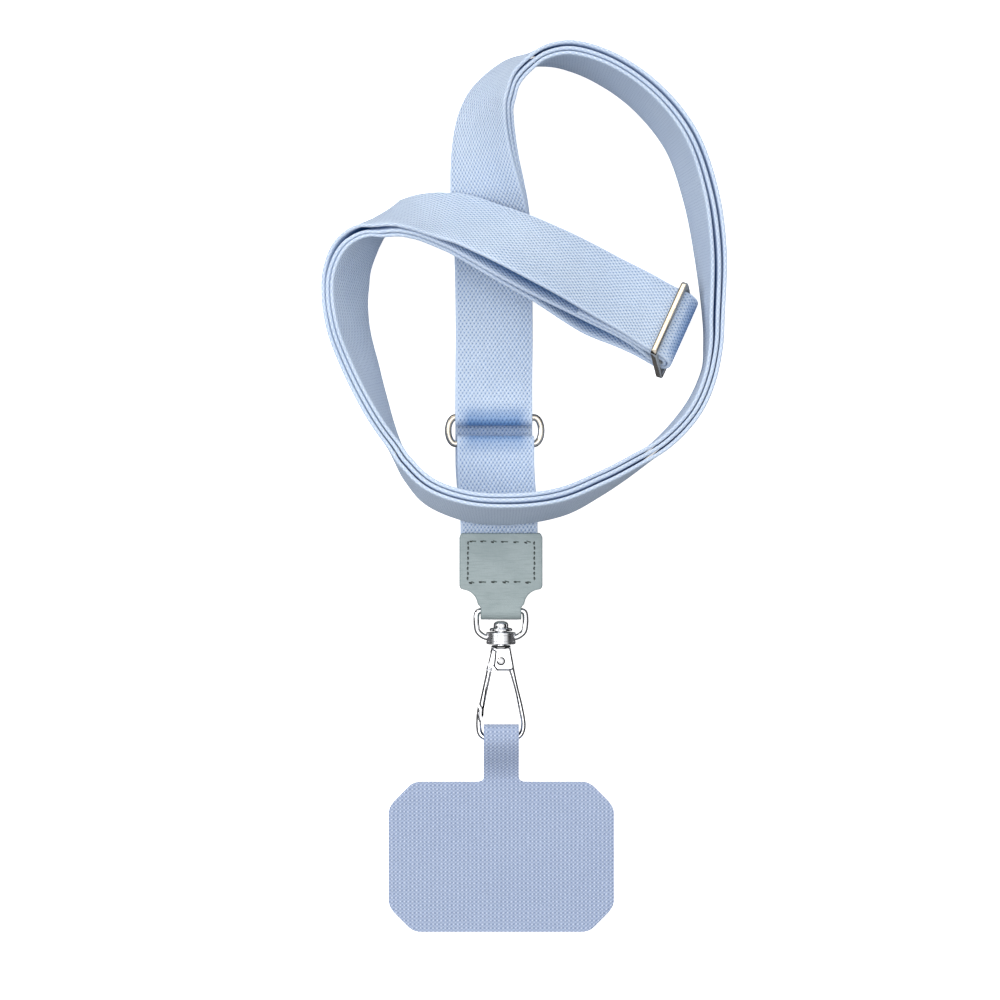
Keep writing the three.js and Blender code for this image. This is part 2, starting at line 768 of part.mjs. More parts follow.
// Plate with cut corners; its tab rises over the hook's bow and folds back behind it.
function phonePatch() {
  const half_x = patch_width / 2;
  const half_y = patch_length / 2;
  const soft = 1.2;
  const corner = [
    [half_x, half_y - patch_chamfer - soft],
    [half_x - 0.25, half_y - patch_chamfer + 0.1 * soft],
    [half_x - patch_chamfer - 0.1 * soft, half_y - 0.25],
    [half_x - patch_chamfer - soft, half_y],
  ];
  const foot = patch_tab_width / 2;
  const top = [...corner, [foot + 1.3, half_y], [foot + 0.4, half_y + 0.4], [foot, half_y + 1.3]];
  const bottom = corner.map(([x, y]) => [x, -y]).reverse();
  const right = [...bottom, ...top];
  const outline = [...right, ...right.map(([x, y]) => [-x, y]).reverse()];
  const shape = new THREE.Shape(outline.map(([x, y]) => new THREE.Vector2(x, y)));
  const plate = toSolid(upright(shape, 0, patch_thickness));
  const half = patch_thickness / 2;
  const clear = hook_depth / 2 + piece_gap + half;
  const turn_y = bow_y + 1.65;
  const front = [
    [half_y - 2, half],
    [half_y + 1.2, half],
    [half_y + 3.2, half + 0.45],
    [half_y + 5.2, half + 1.6],
    [half_y + 7.4, swivel_z + clear - 1.6],
    [half_y + 9.2, swivel_z + clear - 0.5],
    [bow_y - 0.4, swivel_z + clear],
  ];
  const over = arc(turn_y, swivel_z, clear, 90, -90, 10);
  const back = [
    [bow_y - 0.6, swivel_z - clear + 0.05],
    [half_y + 9.2, swivel_z - clear + 0.45],
    [half_y + 8.2, swivel_z - clear + 1.3],
    [half_y + 7.9, swivel_z - 0.6],
  ];
  const tab = toSolid(sideways(bandShape([...front, ...over, ...back], half), patch_tab_width, 0));
  return toGeometry(plate.add(tab));
}

const finishes = {
  webbing: { color: 0xb9cee6, roughness: 0.9, metalness: 0 },
  patch: { color: 0xabbadb, roughness: 0.9, metalness: 0 },
  leather: { color: 0xa2b2b4, roughness: 0.6, metalness: 0 },
  nickel: { color: 0xcfc8bc, roughness: 0.25, metalness: 1 },
  chrome: { color: 0xd8dadd, roughness: 0.12, metalness: 1 },
};

const pieces = [
  ["strap_webbing", strapWebbing(), "webbing"],
  ["ring_webbing", ringWebbing(), "webbing"],
  ["leather_tab", leatherTab(), "leather"],
  ["oval_ring", ovalRing(), "nickel"],
  ["slider", sliderFrame(), "nickel"],
  ["swivel_eye", swivelEye(), "chrome"],
  ["snap_hook", snapHook(), "chrome"],
  ["hook_gate", hookGate(), "chrome"],
  ["gate_rivet", gateRivet(), "chrome"],
  ["phone_patch", phonePatch(), "patch"],
];

const strap = new THREE.Group();
for (const [name, geometry, finish] of pieces) {
  const mesh = new THREE.Mesh(geometry, new THREE.MeshStandardMaterial(finishes[finish]));
  mesh.name = name;
  strap.add(mesh);
}

export default strap;
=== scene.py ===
"""Phone crossbody strap laid flat on a pale table.

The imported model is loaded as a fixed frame. The webbings and the patch are laid along the same course as
the part's solids, the leather tab and the metal pieces are modelled over theirs, and each gets its finish.
Sizes are in millimetres until a mesh is made, and in metres from there on.
"""

from __future__ import annotations

import logging
import math
from contextlib import contextmanager
from dataclasses import dataclass, field
from enum import Enum
from typing import Callable, Iterator, Sequence

import bmesh
import bpy
import numpy as np
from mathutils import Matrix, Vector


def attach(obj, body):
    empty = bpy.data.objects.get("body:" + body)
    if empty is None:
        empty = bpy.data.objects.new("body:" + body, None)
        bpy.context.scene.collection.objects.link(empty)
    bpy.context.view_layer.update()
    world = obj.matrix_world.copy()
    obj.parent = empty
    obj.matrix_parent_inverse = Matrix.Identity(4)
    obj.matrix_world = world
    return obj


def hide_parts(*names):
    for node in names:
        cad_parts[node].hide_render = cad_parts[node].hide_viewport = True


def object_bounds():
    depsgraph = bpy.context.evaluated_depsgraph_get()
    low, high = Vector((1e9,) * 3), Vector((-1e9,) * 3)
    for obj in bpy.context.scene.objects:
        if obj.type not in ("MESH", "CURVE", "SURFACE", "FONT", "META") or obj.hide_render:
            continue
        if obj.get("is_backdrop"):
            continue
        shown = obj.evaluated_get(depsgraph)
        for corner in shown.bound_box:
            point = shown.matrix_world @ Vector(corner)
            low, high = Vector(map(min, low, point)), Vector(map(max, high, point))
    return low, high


LOG = logging.getLogger("strap")

Point = tuple[float, float, float]
Flat = tuple[float, float]

MM = 0.001
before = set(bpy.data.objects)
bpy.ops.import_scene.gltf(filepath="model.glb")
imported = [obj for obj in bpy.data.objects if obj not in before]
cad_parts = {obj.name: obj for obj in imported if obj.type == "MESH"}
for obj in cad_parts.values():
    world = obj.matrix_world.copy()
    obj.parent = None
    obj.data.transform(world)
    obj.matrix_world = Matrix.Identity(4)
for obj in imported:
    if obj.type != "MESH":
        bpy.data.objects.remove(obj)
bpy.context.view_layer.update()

Colour = tuple[float, float, float]

# The cloth's map holds millimetres over this number, and its attribute how much painted shade each place gets where it
# lies tucked between other layers.
MM_PER_UV = 100.0
WEAVE_MAP = "weave"
PAINTED_SHADE_ATTRIBUTE = "painted_shade"


class Body(Enum):
    """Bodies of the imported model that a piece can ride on."""

    STRAP = "strap"
    EYE = "eye"
    HOOK = "hook"
    GATE = "gate"


class Slot(Enum):
    """Material slots of the record."""

    WEBBING = "webbing"
    PATCH = "patch"
    LEATHER = "leather"
    NICKEL = "nickel"
    CHROME = "chrome"


# Sizes that several pieces share


@dataclass(frozen=True)
class StrapSizes:
    """Driving sizes of the strap in millimetres, as in the part's source."""

    webbing_width: float = 20.5
    webbing_thickness: float = 1.0
    piece_gap: float = 0.3
    bow_y: float = 31.5
    barrel_bottom_y: float = 56.8
    barrel_top_y: float = 60.0
    swivel_z: float = 3.9
    hook_x: float = -0.1
    hook_spread: float = 13.2
    hook_top_y: float = 56.1
    eye_bar_y: float = 65.6
    eye_width: float = 14.5
    eye_wire: float = 1.55
    leather_x: float = -0.1
    leather_width: float = 22.0
    leather_thickness: float = 1.2
    leather_length: float = 20.7
    neck_width: float = 12.4
    neck_length: float = 5.2
    ring_x: float = -1.75
    ring_width: float = 26.5
    ring_wire: float = 1.8
    ring_bars_apart: float = 7.0
    ring_end: float = 1.9
    ring_lower_y: float = 110.0
    ring_webbing_x: float = -1.5
    tab_webbing_x: float = -0.6
    band_x: float = -2.0
    loop_span: float = 97.7
    loop_rise: float = 95.7
    slider_length: float = 24.6
    slider_width: float = 13.4
    slider_wire: float = 1.7
    slider_pitch: float = 60.0
    slider_slide: float = 0.1
    flap_length: float = 26.0

    @property
    def layer_pitch(self) -> float:
        """Distance between the middles of two webbing layers."""
        return self.webbing_thickness + self.piece_gap

    @property
    def stack_height(self) -> float:
        """Height of the three layers together."""
        return 2 * self.layer_pitch + self.webbing_thickness

    @property
    def leather_top_y(self) -> float:
        """Upper edge of the leather tab."""
        return self.eye_bar_y + self.leather_length

    @property
    def ring_upper_y(self) -> float:
        """Upper bar of the oval ring."""
        return self.ring_lower_y + self.ring_bars_apart

    @property
    def ring_z(self) -> float:
        """Level of the oval ring."""
        return self.webbing_thickness + self.piece_gap + self.layer_pitch + self.ring_wire / 2

    @property
    def fold_radius(self) -> float:
        """Radius of the webbing's fold round the ring."""
        return self.ring_wire / 2 + self.piece_gap + self.webbing_thickness / 2

    @property
    def fold_radius_slider(self) -> float:
        """Radius of the webbing's fold round the slider's middle bar."""
        return self.slider_wire / 2 + self.piece_gap + self.webbing_thickness / 2

    @property
    def hook_length(self) -> float:
        """Length of the hook from its neck to the underside of its bow."""
        return (self.hook_top_y - self.bow_y) / 0.971

    @property
    def rivet_y(self) -> float:
        """Axis of the gate's rivet."""
        return self.hook_top_y - 0.147 * self.hook_length

    @property
    def webbing_end_y(self) -> float:
        """Cut ends of the webbings inside the leather tab."""
        return self.leather_top_y - self.leather_length + self.neck_length + 3

    @property
    def tab_back_z(self) -> float:
        """Level of the lowest webbing layer inside the leather tab."""
        return self.leather_thickness + self.piece_gap + self.webbing_thickness / 2


SIZES = StrapSizes()


def smoothstep(x: float, low: float, high: float) -> float:
    """Share from 0 to 1 that starts and ends level.

    Args:
        x: The value.
        low: Where the share is 0.
        high: Where the share is 1.

    Returns:
        The share at x.
    """
    t = min(max((x - low) / (high - low), 0.0), 1.0)
    return t * t * (3 - 2 * t)


def lerp(a: float, b: float, t: float) -> float:
    """Value at share t of the way from a to b."""
    return a + (b - a) * t


def unit(v: np.ndarray) -> np.ndarray:
    """The vector at length 1."""
    return v / np.linalg.norm(v)


def arc(cx: float, cy: float, rx: float, ry: float, start: float, end: float, steps: int) -> list[Flat]:
    """Points on an ellipse.

    Args:
        cx: Centre across.
        cy: Centre along.
        rx: Radius across.
        ry: Radius along.
        start: First angle in degrees.
        end: Last angle in degrees.
        steps: Number of steps between them.

    Returns:
        The points, the first and last included.
    """
    angles = [math.radians(lerp(start, end, i / steps)) for i in range(steps + 1)]
    return [(cx + rx * math.cos(a), cy + ry * math.sin(a)) for a in angles]


class SmoothLine:
    """Centripetal line through points, the same as the part's source draws."""

    def __init__(self, points: Sequence[Sequence[float]]) -> None:
        """Keep the points.

        Args:
            points: The points that the line passes through, all with the same number of values.
        """
        self.points = [np.array(p, dtype=float) for p in points]

    def at(self, u: float) -> np.ndarray:
        """Point at share u of the rows.

        Args:
            u: From 0 at the first point to 1 at the last.

        Returns:
            The point.
        """
        pts = self.points
        last = len(pts) - 1
        place = min(max(u, 0.0), 1.0) * last
        i = min(int(place), last - 1)
        w = place - i
        p1, p2 = pts[i], pts[i + 1]
        p0 = pts[i - 1] if i > 0 else 2 * p1 - p2
        p3 = pts[i + 2] if i + 2 <= last else 2 * p2 - p1
        d0, d1, d2 = (float(np.linalg.norm(b - a)) ** 0.5 for a, b in ((p0, p1), (p1, p2), (p2, p3)))
        d1 = d1 if d1 > 1e-4 else 1.0
        d0 = d0 if d0 > 1e-4 else d1
        d2 = d2 if d2 > 1e-4 else d1
        t1 = ((p1 - p0) / d0 - (p2 - p0) / (d0 + d1) + (p2 - p1) / d1) * d1
        t2 = ((p2 - p1) / d1 - (p3 - p1) / (d1 + d2) + (p3 - p2) / d2) * d1
        return p1 + t1 * w + (-3 * p1 + 3 * p2 - 2 * t1 - t2) * w**2 + (2 * p1 - 2 * p2 + t1 + t2) * w**3

    def tangent(self, u: float) -> np.ndarray:
        """Direction of travel at share u of the rows."""
        return unit(self.at(min(u + 1e-4, 1.0)) - self.at(max(u - 1e-4, 0.0)))

    def sampled(self, step: float) -> list[np.ndarray]:
        """Points along the line, its own points among them.

        Args:
            step: Distance between two points, about.

        Returns:
            The points from the first to the last.
        """
        spans = len(self.points) - 1
        found = []
        for i in range(spans):
            parts = max(1, round(float(np.linalg.norm(self.points[i + 1] - self.points[i])) / step))
            found += [self.at((i + k / parts) / spans) for k in range(parts)]
        return [*found, self.points[-1]]


# Modelling by hand


class Bench:
    """Hand tools of the modeller: primitives, edit-mode operators and applied modifiers."""

    @staticmethod
    def clear() -> None:
        """Leave edit mode and deselect everything."""
        active = bpy.context.view_layer.objects.active
        if active is not None and active.mode == "EDIT":
            bpy.ops.object.mode_set(mode="OBJECT")
        bpy.ops.object.select_all(action="DESELECT")

    @staticmethod
    def take(obj: bpy.types.Object) -> bpy.types.Object:
        """Make one object the only selected and active one.

        Args:
            obj: The object.

        Returns:
            The same object.
        """
        Bench.clear()
        obj.select_set(True)
        bpy.context.view_layer.objects.active = obj
        return obj

    @staticmethod
    @contextmanager
    def editing() -> Iterator[None]:
        """Edit mode with everything selected, and with the normals made consistent on the way out."""
        bpy.ops.object.mode_set(mode="EDIT")
        bpy.ops.mesh.select_all(action="SELECT")
        yield
        bpy.ops.mesh.select_all(action="SELECT")
        bpy.ops.mesh.normals_make_consistent(inside=False)
        bpy.ops.object.mode_set(mode="OBJECT")

    @staticmethod
    def push(x: float, y: float, z: float) -> None:
        """Extrude what is selected, by a step in metres."""
        bpy.ops.mesh.extrude_region_move(TRANSFORM_OT_translate={"value": (x, y, z)})

    @staticmethod
    def turned(degrees: float, place: Point) -> None:
        """Turn everything about Z, then move it to its place in millimetres."""
        bpy.ops.mesh.select_all(action="SELECT")
        bpy.ops.transform.rotate(value=-math.radians(degrees), orient_axis="Z", center_override=(0, 0, 0))
        bpy.ops.transform.translate(value=tuple(np.array(place) * MM))

    @staticmethod
    def named(name: str) -> bpy.types.Object:
        """Name the active object and its mesh, and apply its place.

        Args:
            name: The name.

        Returns:
            The active object.
        """
        obj = bpy.context.view_layer.objects.active
        obj.name = name
        obj.data.name = name
        bpy.ops.object.transform_apply(location=True, rotation=True, scale=True)
        return obj

    @staticmethod
    def pick(obj: bpy.types.Object, kind: str, test: Callable[[np.ndarray], bool]) -> None:
        """Select what passes a test in edit mode.

        Args:
            obj: The object in edit mode.
            kind: VERT or FACE. A face passes when all its corners do.
            test: Takes a corner's place in metres.
        """
        bpy.ops.mesh.select_mode(type=kind)
        bpy.ops.mesh.select_all(action="DESELECT")
        mesh = bmesh.from_edit_mesh(obj.data)
        passed = {v: bool(test(np.array(v.co))) for v in mesh.verts}
        if kind == "VERT":
            for v, good in passed.items():
                v.select_set(good)
        else:
            for face in mesh.faces:
                face.select_set(all(passed[v] for v in face.verts))
        mesh.select_flush_mode()
        bmesh.update_edit_mesh(obj.data)

    @staticmethod
    def drawn(
        name: str, points: Sequence[Sequence[float]], filled: bool = False, closed: bool = False
    ) -> bpy.types.Object:
        """A line of edges drawn by extruding one vertex from point to point.

        Args:
            name: The new object's name.
            points: The points in millimetres.
            filled: Whether the closed outline is filled with a face.
            closed: Whether the last point is joined to the first.

        Returns:
            The object, in object mode.
        """
        places = [np.array(p, dtype=float) * MM for p in points]
        Bench.clear()
        bpy.ops.mesh.primitive_plane_add(size=0.002, location=(0, 0, 0))
        obj = Bench.named(name)
        bpy.ops.object.mode_set(mode="EDIT")
        corner = np.array(obj.data.vertices[0].co)
        Bench.pick(obj, "VERT", lambda p: float(np.linalg.norm(p - corner)) > 1e-5)
        bpy.ops.mesh.delete(type="VERT")
        bpy.ops.mesh.select_all(action="SELECT")
        bpy.ops.transform.translate(value=tuple(places[0] - corner))
        for a, b in zip(places, places[1:]):
            Bench.push(*(b - a))
        if filled:
            bpy.ops.mesh.select_all(action="SELECT")
            bpy.ops.mesh.edge_face_add()
        elif closed:
            ends = (places[0], places[-1])
            Bench.pick(obj, "VERT", lambda p: any(float(np.linalg.norm(p - e)) < 1e-7 for e in ends))
            bpy.ops.mesh.edge_face_add()
        bpy.ops.object.mode_set(mode="OBJECT")
        return obj

    @staticmethod
    def plate(
        name: str,
        outline: Sequence[Flat],
        z: float,
        depth: float,
        bevel: float,
        rounds: int,
        bulge: float = 0.5,
    ) -> bpy.types.Object:
        """A flat outline pushed up to a plate with rounded rims.

        Args:
            name: The new object's name.
            outline: The outline's points in millimetres.
            z: Level of the lower face.
            depth: Height of the plate.
            bevel: Width of the rounding, 0 for none.
            rounds: Segments of the rounding.
            bulge: Its profile, 0.5 for round and 0.25 for a straight chamfer.

        Returns:
            The object.
        """
        obj = Bench.drawn(name, [(x, y, z) for x, y in outline], filled=True)
        with Bench.editing():
            Bench.push(0, 0, depth * MM)
            if bevel > 0:
                levels = (z * MM, (z + depth) * MM)
                bpy.ops.mesh.select_mode(type="EDGE")
                bpy.ops.mesh.select_all(action="DESELECT")
                mesh = bmesh.from_edit_mesh(obj.data)
                for edge in mesh.edges:
                    ends = [v.co.z for v in edge.verts]
                    edge.select_set(any(all(abs(c - level) < 1e-6 for c in ends) for level in levels))
                bmesh.update_edit_mesh(obj.data)
                bpy.ops.mesh.bevel(
                    offset=bevel * MM, segments=rounds, profile=bulge, affect="EDGES", clamp_overlap=False
                )
        return obj

    @staticmethod
    def spun(name: str, rows: Sequence[Flat], origin: Point, axis: str, steps: int) -> bpy.types.Object:
        """A profile spun about an axis into a closed round solid.

        Args:
            name: The new object's name.
            rows: Radius and place along the axis, in millimetres.
            origin: A point of the axis, in millimetres.
            axis: Y or Z.
            steps: Sides of the round solid.

        Returns:
            The object.
        """
        ox, oy, oz = origin
        if axis == "Y":
            points = [(ox + r, along, oz) for r, along in rows]
            direction = (0, 1, 0)
        else:
            points = [(ox + r, oy, along) for r, along in rows]
            direction = (0, 0, 1)
        obj = Bench.drawn(name, points)
        centre = (ox * MM, oy * MM, oz * MM)
        with Bench.editing():
            bpy.ops.mesh.spin(steps=steps, angle=2 * math.pi, center=centre, axis=direction, use_auto_merge=True)
            bpy.ops.mesh.select_all(action="SELECT")
            bpy.ops.mesh.remove_doubles(threshold=1e-6)
        return obj

    @staticmethod
    def wire(
        name: str, points: Sequence[Sequence[float]], radius: float, closed: bool, rounds: int = 6
    ) -> bpy.types.Object:
        """Round wire along a drawn line.

        Args:
            name: The new object's name.
            points: The wire's centre line in millimetres.
            radius: The wire's radius.
            closed: Whether it is a ring.
            rounds: Roundness of its section, in steps for a quarter.

        Returns:
            The object, a mesh.
        """
        Bench.take(Bench.drawn(name, points, closed=closed))
        bpy.ops.object.convert(target="CURVE")
        curve = bpy.context.view_layer.objects.active
        curve.data.dimensions = "3D"
        curve.data.bevel_depth = radius * MM
        curve.data.bevel_resolution = rounds
        curve.data.use_fill_caps = not closed
        bpy.ops.object.convert(target="MESH")
        made = Bench.named(name)
        with Bench.editing():
            bpy.ops.mesh.remove_doubles(threshold=1e-7)
        return made

    @staticmethod
    def apply(obj: bpy.types.Object, kind: str, **settings: object) -> bpy.types.Object:
        """Add a modifier, set it and apply it.

        Args:
            obj: The object.
            kind: The modifier's type.
            **settings: Its settings by name.

        Returns:
            The object.
        """
        Bench.take(obj)
        bpy.ops.object.modifier_add(type=kind)
        modifier = obj.modifiers[-1]
        for name, value in settings.items():
            setattr(modifier, name, value)
        bpy.ops.object.modifier_apply(modifier=modifier.name)
        return obj

    @staticmethod
    def cut(obj: bpy.types.Object, tool: bpy.types.Object) -> bpy.types.Object:
        """Take the tool's space out of the object and remove the tool.

        Args:
            obj: The object that is cut.
            tool: The shape that is taken out.

        Returns:
            The object.
        """
        Bench.apply(obj, "BOOLEAN", operation="DIFFERENCE", object=tool, solver="EXACT")
        bpy.data.objects.remove(tool, do_unlink=True)
        return obj

    @staticmethod
    def joined(name: str, parts: Sequence[bpy.types.Object]) -> bpy.types.Object:
        """Join several meshes into one.

        Args:
            name: The joined object's name.
            parts: The meshes.

        Returns:
            The joined object.
        """
        Bench.take(parts[0])
        for part in parts:
            part.select_set(True)
        bpy.ops.object.join()
        return Bench.named(name)

    @staticmethod
    def smooth(obj: bpy.types.Object, degrees: float) -> bpy.types.Object:
        """Shade smooth, with edges kept where the surface turns more.

        Args:
            obj: The object.
            degrees: The largest angle that is still smooth.

        Returns:
            The object.
        """
        Bench.take(obj)
        bpy.ops.object.shade_smooth_by_angle(angle=math.radians(degrees))
        return obj


def linked(name: str, data: bpy.types.ID) -> bpy.types.Object:
    """A new object in the scene for a mesh, light or camera."""
    obj = bpy.data.objects.new(name, data)
    bpy.context.scene.collection.objects.link(obj)
    return obj


def settle(
    obj: bpy.types.Object,
    body: Body,
    nodes: Sequence[str] = (),
    finish: bpy.types.Material | None = None,
) -> bpy.types.Object:
    """Hang a finished piece on its body and hide the nodes that it replaces.

    Args:
        obj: The piece.
        body: The body that it rides on.
        nodes: The nodes that it replaces.
        finish: Its material, if it has none yet.

    Returns:
        The piece.
    """
    if finish is not None:
        obj.data.materials.append(finish)
    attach(obj, body.value)
    if nodes:
        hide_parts(*nodes)
    LOG.info("%s: %d faces on body %s", obj.name, len(obj.data.polygons), body.value)
    return obj


# Node groups


class Nodes:
    """Small helper that places and links shader nodes in a tree."""

    def __init__(self, tree: bpy.types.NodeTree) -> None:
        """Keep the tree."""
        self.tree = tree

    def add(self, kind: str, **settings: object) -> bpy.types.Node:
        """Add a node.

        Args:
            kind: The node's type.
            **settings: Its settings by name.

        Returns:
            The node.
        """
        node = self.tree.nodes.new(kind)
        for name, value in settings.items():
            setattr(node, name, value)
        return node

    def feed(self, value: object, socket: bpy.types.NodeSocket) -> None:
        """Link a socket, or set a constant, on an input.

        Args:
            value: An output socket, a number or a tuple.
            socket: The input.
        """
        if isinstance(value, bpy.types.NodeSocket):
            self.tree.links.new(value, socket)
        else:
            socket.default_value = value

    def fill(self, node: bpy.types.Node, **values: object) -> bpy.types.Node:
        """Feed a node's inputs by name.

        Args:
            node: The node.
            **values: Its inputs, with underscores for spaces.

        Returns:
            The node.
        """
        for name, value in values.items():
            self.feed(value, node.inputs[name.replace("_", " ")])
        return node

    def group(self, tree: bpy.types.NodeTree, **values: object) -> bpy.types.Node:
        """Place a node group with its own values."""
        return self.fill(self.add("ShaderNodeGroup", node_tree=tree), **values)

    def place(self) -> bpy.types.NodeSocket:
        """Place on the object in metres."""
        return self.add("ShaderNodeTexCoord").outputs["Object"]

    def stretched(self, vector: object, rotation: Point, scale: Point) -> bpy.types.NodeSocket:
        """A vector turned and scaled."""
        node = self.add("ShaderNodeMapping")
        return self.fill(node, Vector=vector, Rotation=rotation, Scale=scale).outputs[0]

    def bump(self, height: object, strength: float, distance: float) -> bpy.types.NodeSocket:
        """Normal of a Bump node, whose distance is one unit of height in metres."""
        node = self.add("ShaderNodeBump")
        return self.fill(node, Strength=strength, Distance=distance, Height=height).outputs["Normal"]

    def math(self, operation: str, *values: object) -> bpy.types.NodeSocket:
        """Result of a Math node.

        Args:
            operation: The node's operation.
            *values: Its inputs, each a socket or a number.

        Returns:
            The output socket.
        """
        node = self.add("ShaderNodeMath", operation=operation)
        for value, socket in zip(values, node.inputs):
            self.feed(value, socket)
        return node.outputs[0]

    def band(
        self, value: object, low: float, high: float, start: float = 0.0, end: float = 1.0
    ) -> bpy.types.NodeSocket:
        """Smooth step of a value between two limits.

        Args:
            value: The value.
            low: Where the result is start.
            high: Where the result is end.
            start: Result below low.
            end: Result above high.

        Returns:
            The output socket.
        """
        node = self.add("ShaderNodeMapRange", interpolation_type="SMOOTHSTEP")
        self.fill(node, Value=value, From_Min=low, From_Max=high, To_Min=start, To_Max=end)
        return node.outputs["Result"]

    def mix(self, factor: object, a: object, b: object, blend: str = "MIX") -> bpy.types.NodeSocket:
        """Mix of two colours.

        Args:
            factor: Share of b.
            a: First colour.
            b: Second colour.
            blend: The blend mode.

        Returns:
            The output socket.
        """
        node = self.add("ShaderNodeMix", data_type="RGBA", blend_type=blend)
        factor_socket, a_socket, b_socket = node.inputs[0], node.inputs[6], node.inputs[7]
        for value, socket in ((factor, factor_socket), (a, a_socket), (b, b_socket)):
            self.feed(value, socket)
        return node.outputs[2]

    def noise(
        self, vector: object, scale: float, detail: float = 3.0, rough: float = 0.5
    ) -> bpy.types.NodeSocket:
        """Value of a Noise Texture.

        Args:
            vector: Where it is read.
            scale: Its scale.
            detail: Its detail.
            rough: Its roughness.

        Returns:
            The output socket.
        """
        node = self.add("ShaderNodeTexNoise")
        return self.fill(node, Vector=vector, Scale=scale, Detail=detail, Roughness=rough).outputs["Fac"]


def new_group(
    name: str, inputs: dict[str, float | None], outputs: Sequence[str]
) -> tuple[Nodes, dict[str, bpy.types.NodeSocket], bpy.types.Node]:
    """An empty shader node group with named sockets.

    Args:
        name: The group's name.
        inputs: The inputs' names and defaults, None for a vector.
        outputs: The outputs' names, all of them numbers.

    Returns:
        The group's helper, its inputs by name and its output node.
    """
    tree = bpy.data.node_groups.new(name, "ShaderNodeTree")
    for label, value in inputs.items():
        kind = "NodeSocketVector" if value is None else "NodeSocketFloat"
        socket = tree.interface.new_socket(name=label, in_out="INPUT", socket_type=kind)
        if value is not None:
            socket.default_value = value
    for label in outputs:
        tree.interface.new_socket(name=label, in_out="OUTPUT", socket_type="NodeSocketFloat")
    helper = Nodes(tree)
    given = helper.add("NodeGroupInput").outputs
    return helper, {label: given[label] for label in inputs}, helper.add("NodeGroupOutput")


class Effects:
    """Node groups that several finishes share."""

    def __init__(self) -> None:
        """Build each group once."""
        self.weave = self._weave()
        self.smudge = self._smudge()
        self.grain = self._grain()

    @staticmethod
    def _weave() -> bpy.types.NodeTree:
        """Woven cloth: raised yarns with small gaps between them, staggered from row to row."""
        names = ("Across", "Along", "Column Pitch", "Row Pitch", "Slant", "Rib", "Fuzz")
        n, given, end = new_group("woven_cloth", dict.fromkeys(names, 0.0), ("Height", "Gap", "Crown"))
        across, along = given["Across"], given["Along"]
        place = n.fill(n.add("ShaderNodeCombineXYZ"), X=across, Y=along).outputs[0]
        wobble = n.math("MULTIPLY", n.math("SUBTRACT", n.noise(place, 0.35, 2.0), 0.5), 0.5)
        fuzz = n.math("SUBTRACT", n.noise(place, 5.0, 3.0, 0.6), 0.5)
        columns = n.math("DIVIDE", n.math("ADD", across, wobble), given["Column Pitch"])
        rows = n.math("DIVIDE", n.math("ADD", along, wobble), given["Row Pitch"])
        a, b = n.math("MULTIPLY", columns, 2 * math.pi), n.math("MULTIPLY", rows, math.pi)
        cosines = n.math("MULTIPLY", n.math("COSINE", a), n.math("COSINE", b))
        sines = n.math("MULTIPLY", n.math("MULTIPLY", n.math("SINE", a), n.math("SINE", b)), given["Slant"])
        ribs = n.math("MULTIPLY", n.math("COSINE", a), given["Rib"])
        lattice = n.math("ADD", n.math("ADD", cosines, sines), ribs)
        wave = n.math("ADD", lattice, n.math("MULTIPLY", fuzz, given["Fuzz"]))
        gap, crown = n.band(wave, 0.4, 1.0), n.band(wave, -0.1, -1.1)
        n.fill(end, Height=n.math("MULTIPLY", wave, -1.0), Gap=gap, Crown=crown)
        return n.tree

    @staticmethod
    def _smudge() -> bpy.types.NodeTree:
        """Handling marks on polished metal: soft smudges and fine scratches."""
        inputs = {"Place": None, "Least": 0.08, "Most": 0.2}
        n, given, end = new_group("handling_marks", inputs, ("Roughness", "Marks", "Height"))
        soft = n.band(n.noise(given["Place"], 160.0, 4.0, 0.6), 0.4, 0.72)
        strokes = n.stretched(given["Place"], (0.3, 0.2, 0.6), (1.0, 14.0, 14.0))
        scratch = n.band(n.noise(strokes, 420.0, 2.0, 0.6), 0.66, 0.74)
        marks = n.math("MAXIMUM", soft, n.math("MULTIPLY", scratch, 0.7))
        spread = n.math("SUBTRACT", given["Most"], given["Least"])
        rough = n.math("MULTIPLY_ADD", marks, spread, given["Least"])
        n.fill(end, Roughness=rough, Marks=marks, Height=n.math("MULTIPLY", scratch, -1.0))
        return n.tree

    @staticmethod
    def _grain() -> bpy.types.NodeTree:
        """Fine pebbled leather grain with soft creases and streaks across."""
        n, given, end = new_group("leather_grain", {"Place": None, "Crease": 0.4}, ("Height", "Cloud", "Pores"))
        place = given["Place"]
        cells = n.fill(n.add("ShaderNodeTexVoronoi", feature="DISTANCE_TO_EDGE"), Vector=place, Scale=2300.0)
        pebbles = n.band(cells.outputs["Distance"], 0.0, 0.32)
        strokes = n.stretched(place, (0.0, 0.0, 0.0), (0.14, 1.9, 1.0))
        crease = n.math("MULTIPLY", n.noise(strokes, 700.0, 4.0, 0.6), given["Crease"])
        streaks = n.band(n.noise(strokes, 1500.0, 3.0, 0.6), 0.44, 0.68)
        pores = n.math("MAXIMUM", n.band(pebbles, 0.35, 0.0, 0.0, 0.5), streaks)
        cloud = n.band(n.noise(place, 120.0, 3.0), 0.35, 0.7)
        n.fill(end, Height=n.math("ADD", pebbles, crease), Cloud=cloud, Pores=pores)
        return n.tree


# Finishes


def linear(colour: Colour) -> tuple[float, float, float, float]:
    """Linear colour for a screen colour of 0 to 255.

    Args:
        colour: Red, green and blue.

    Returns:
        Red, green, blue and 1.
    """
    shares = [c / 255 for c in colour]
    r, g, b = (s / 12.92 if s <= 0.04045 else ((s + 0.055) / 1.055) ** 2.4 for s in shares)
    return (r, g, b, 1.0)


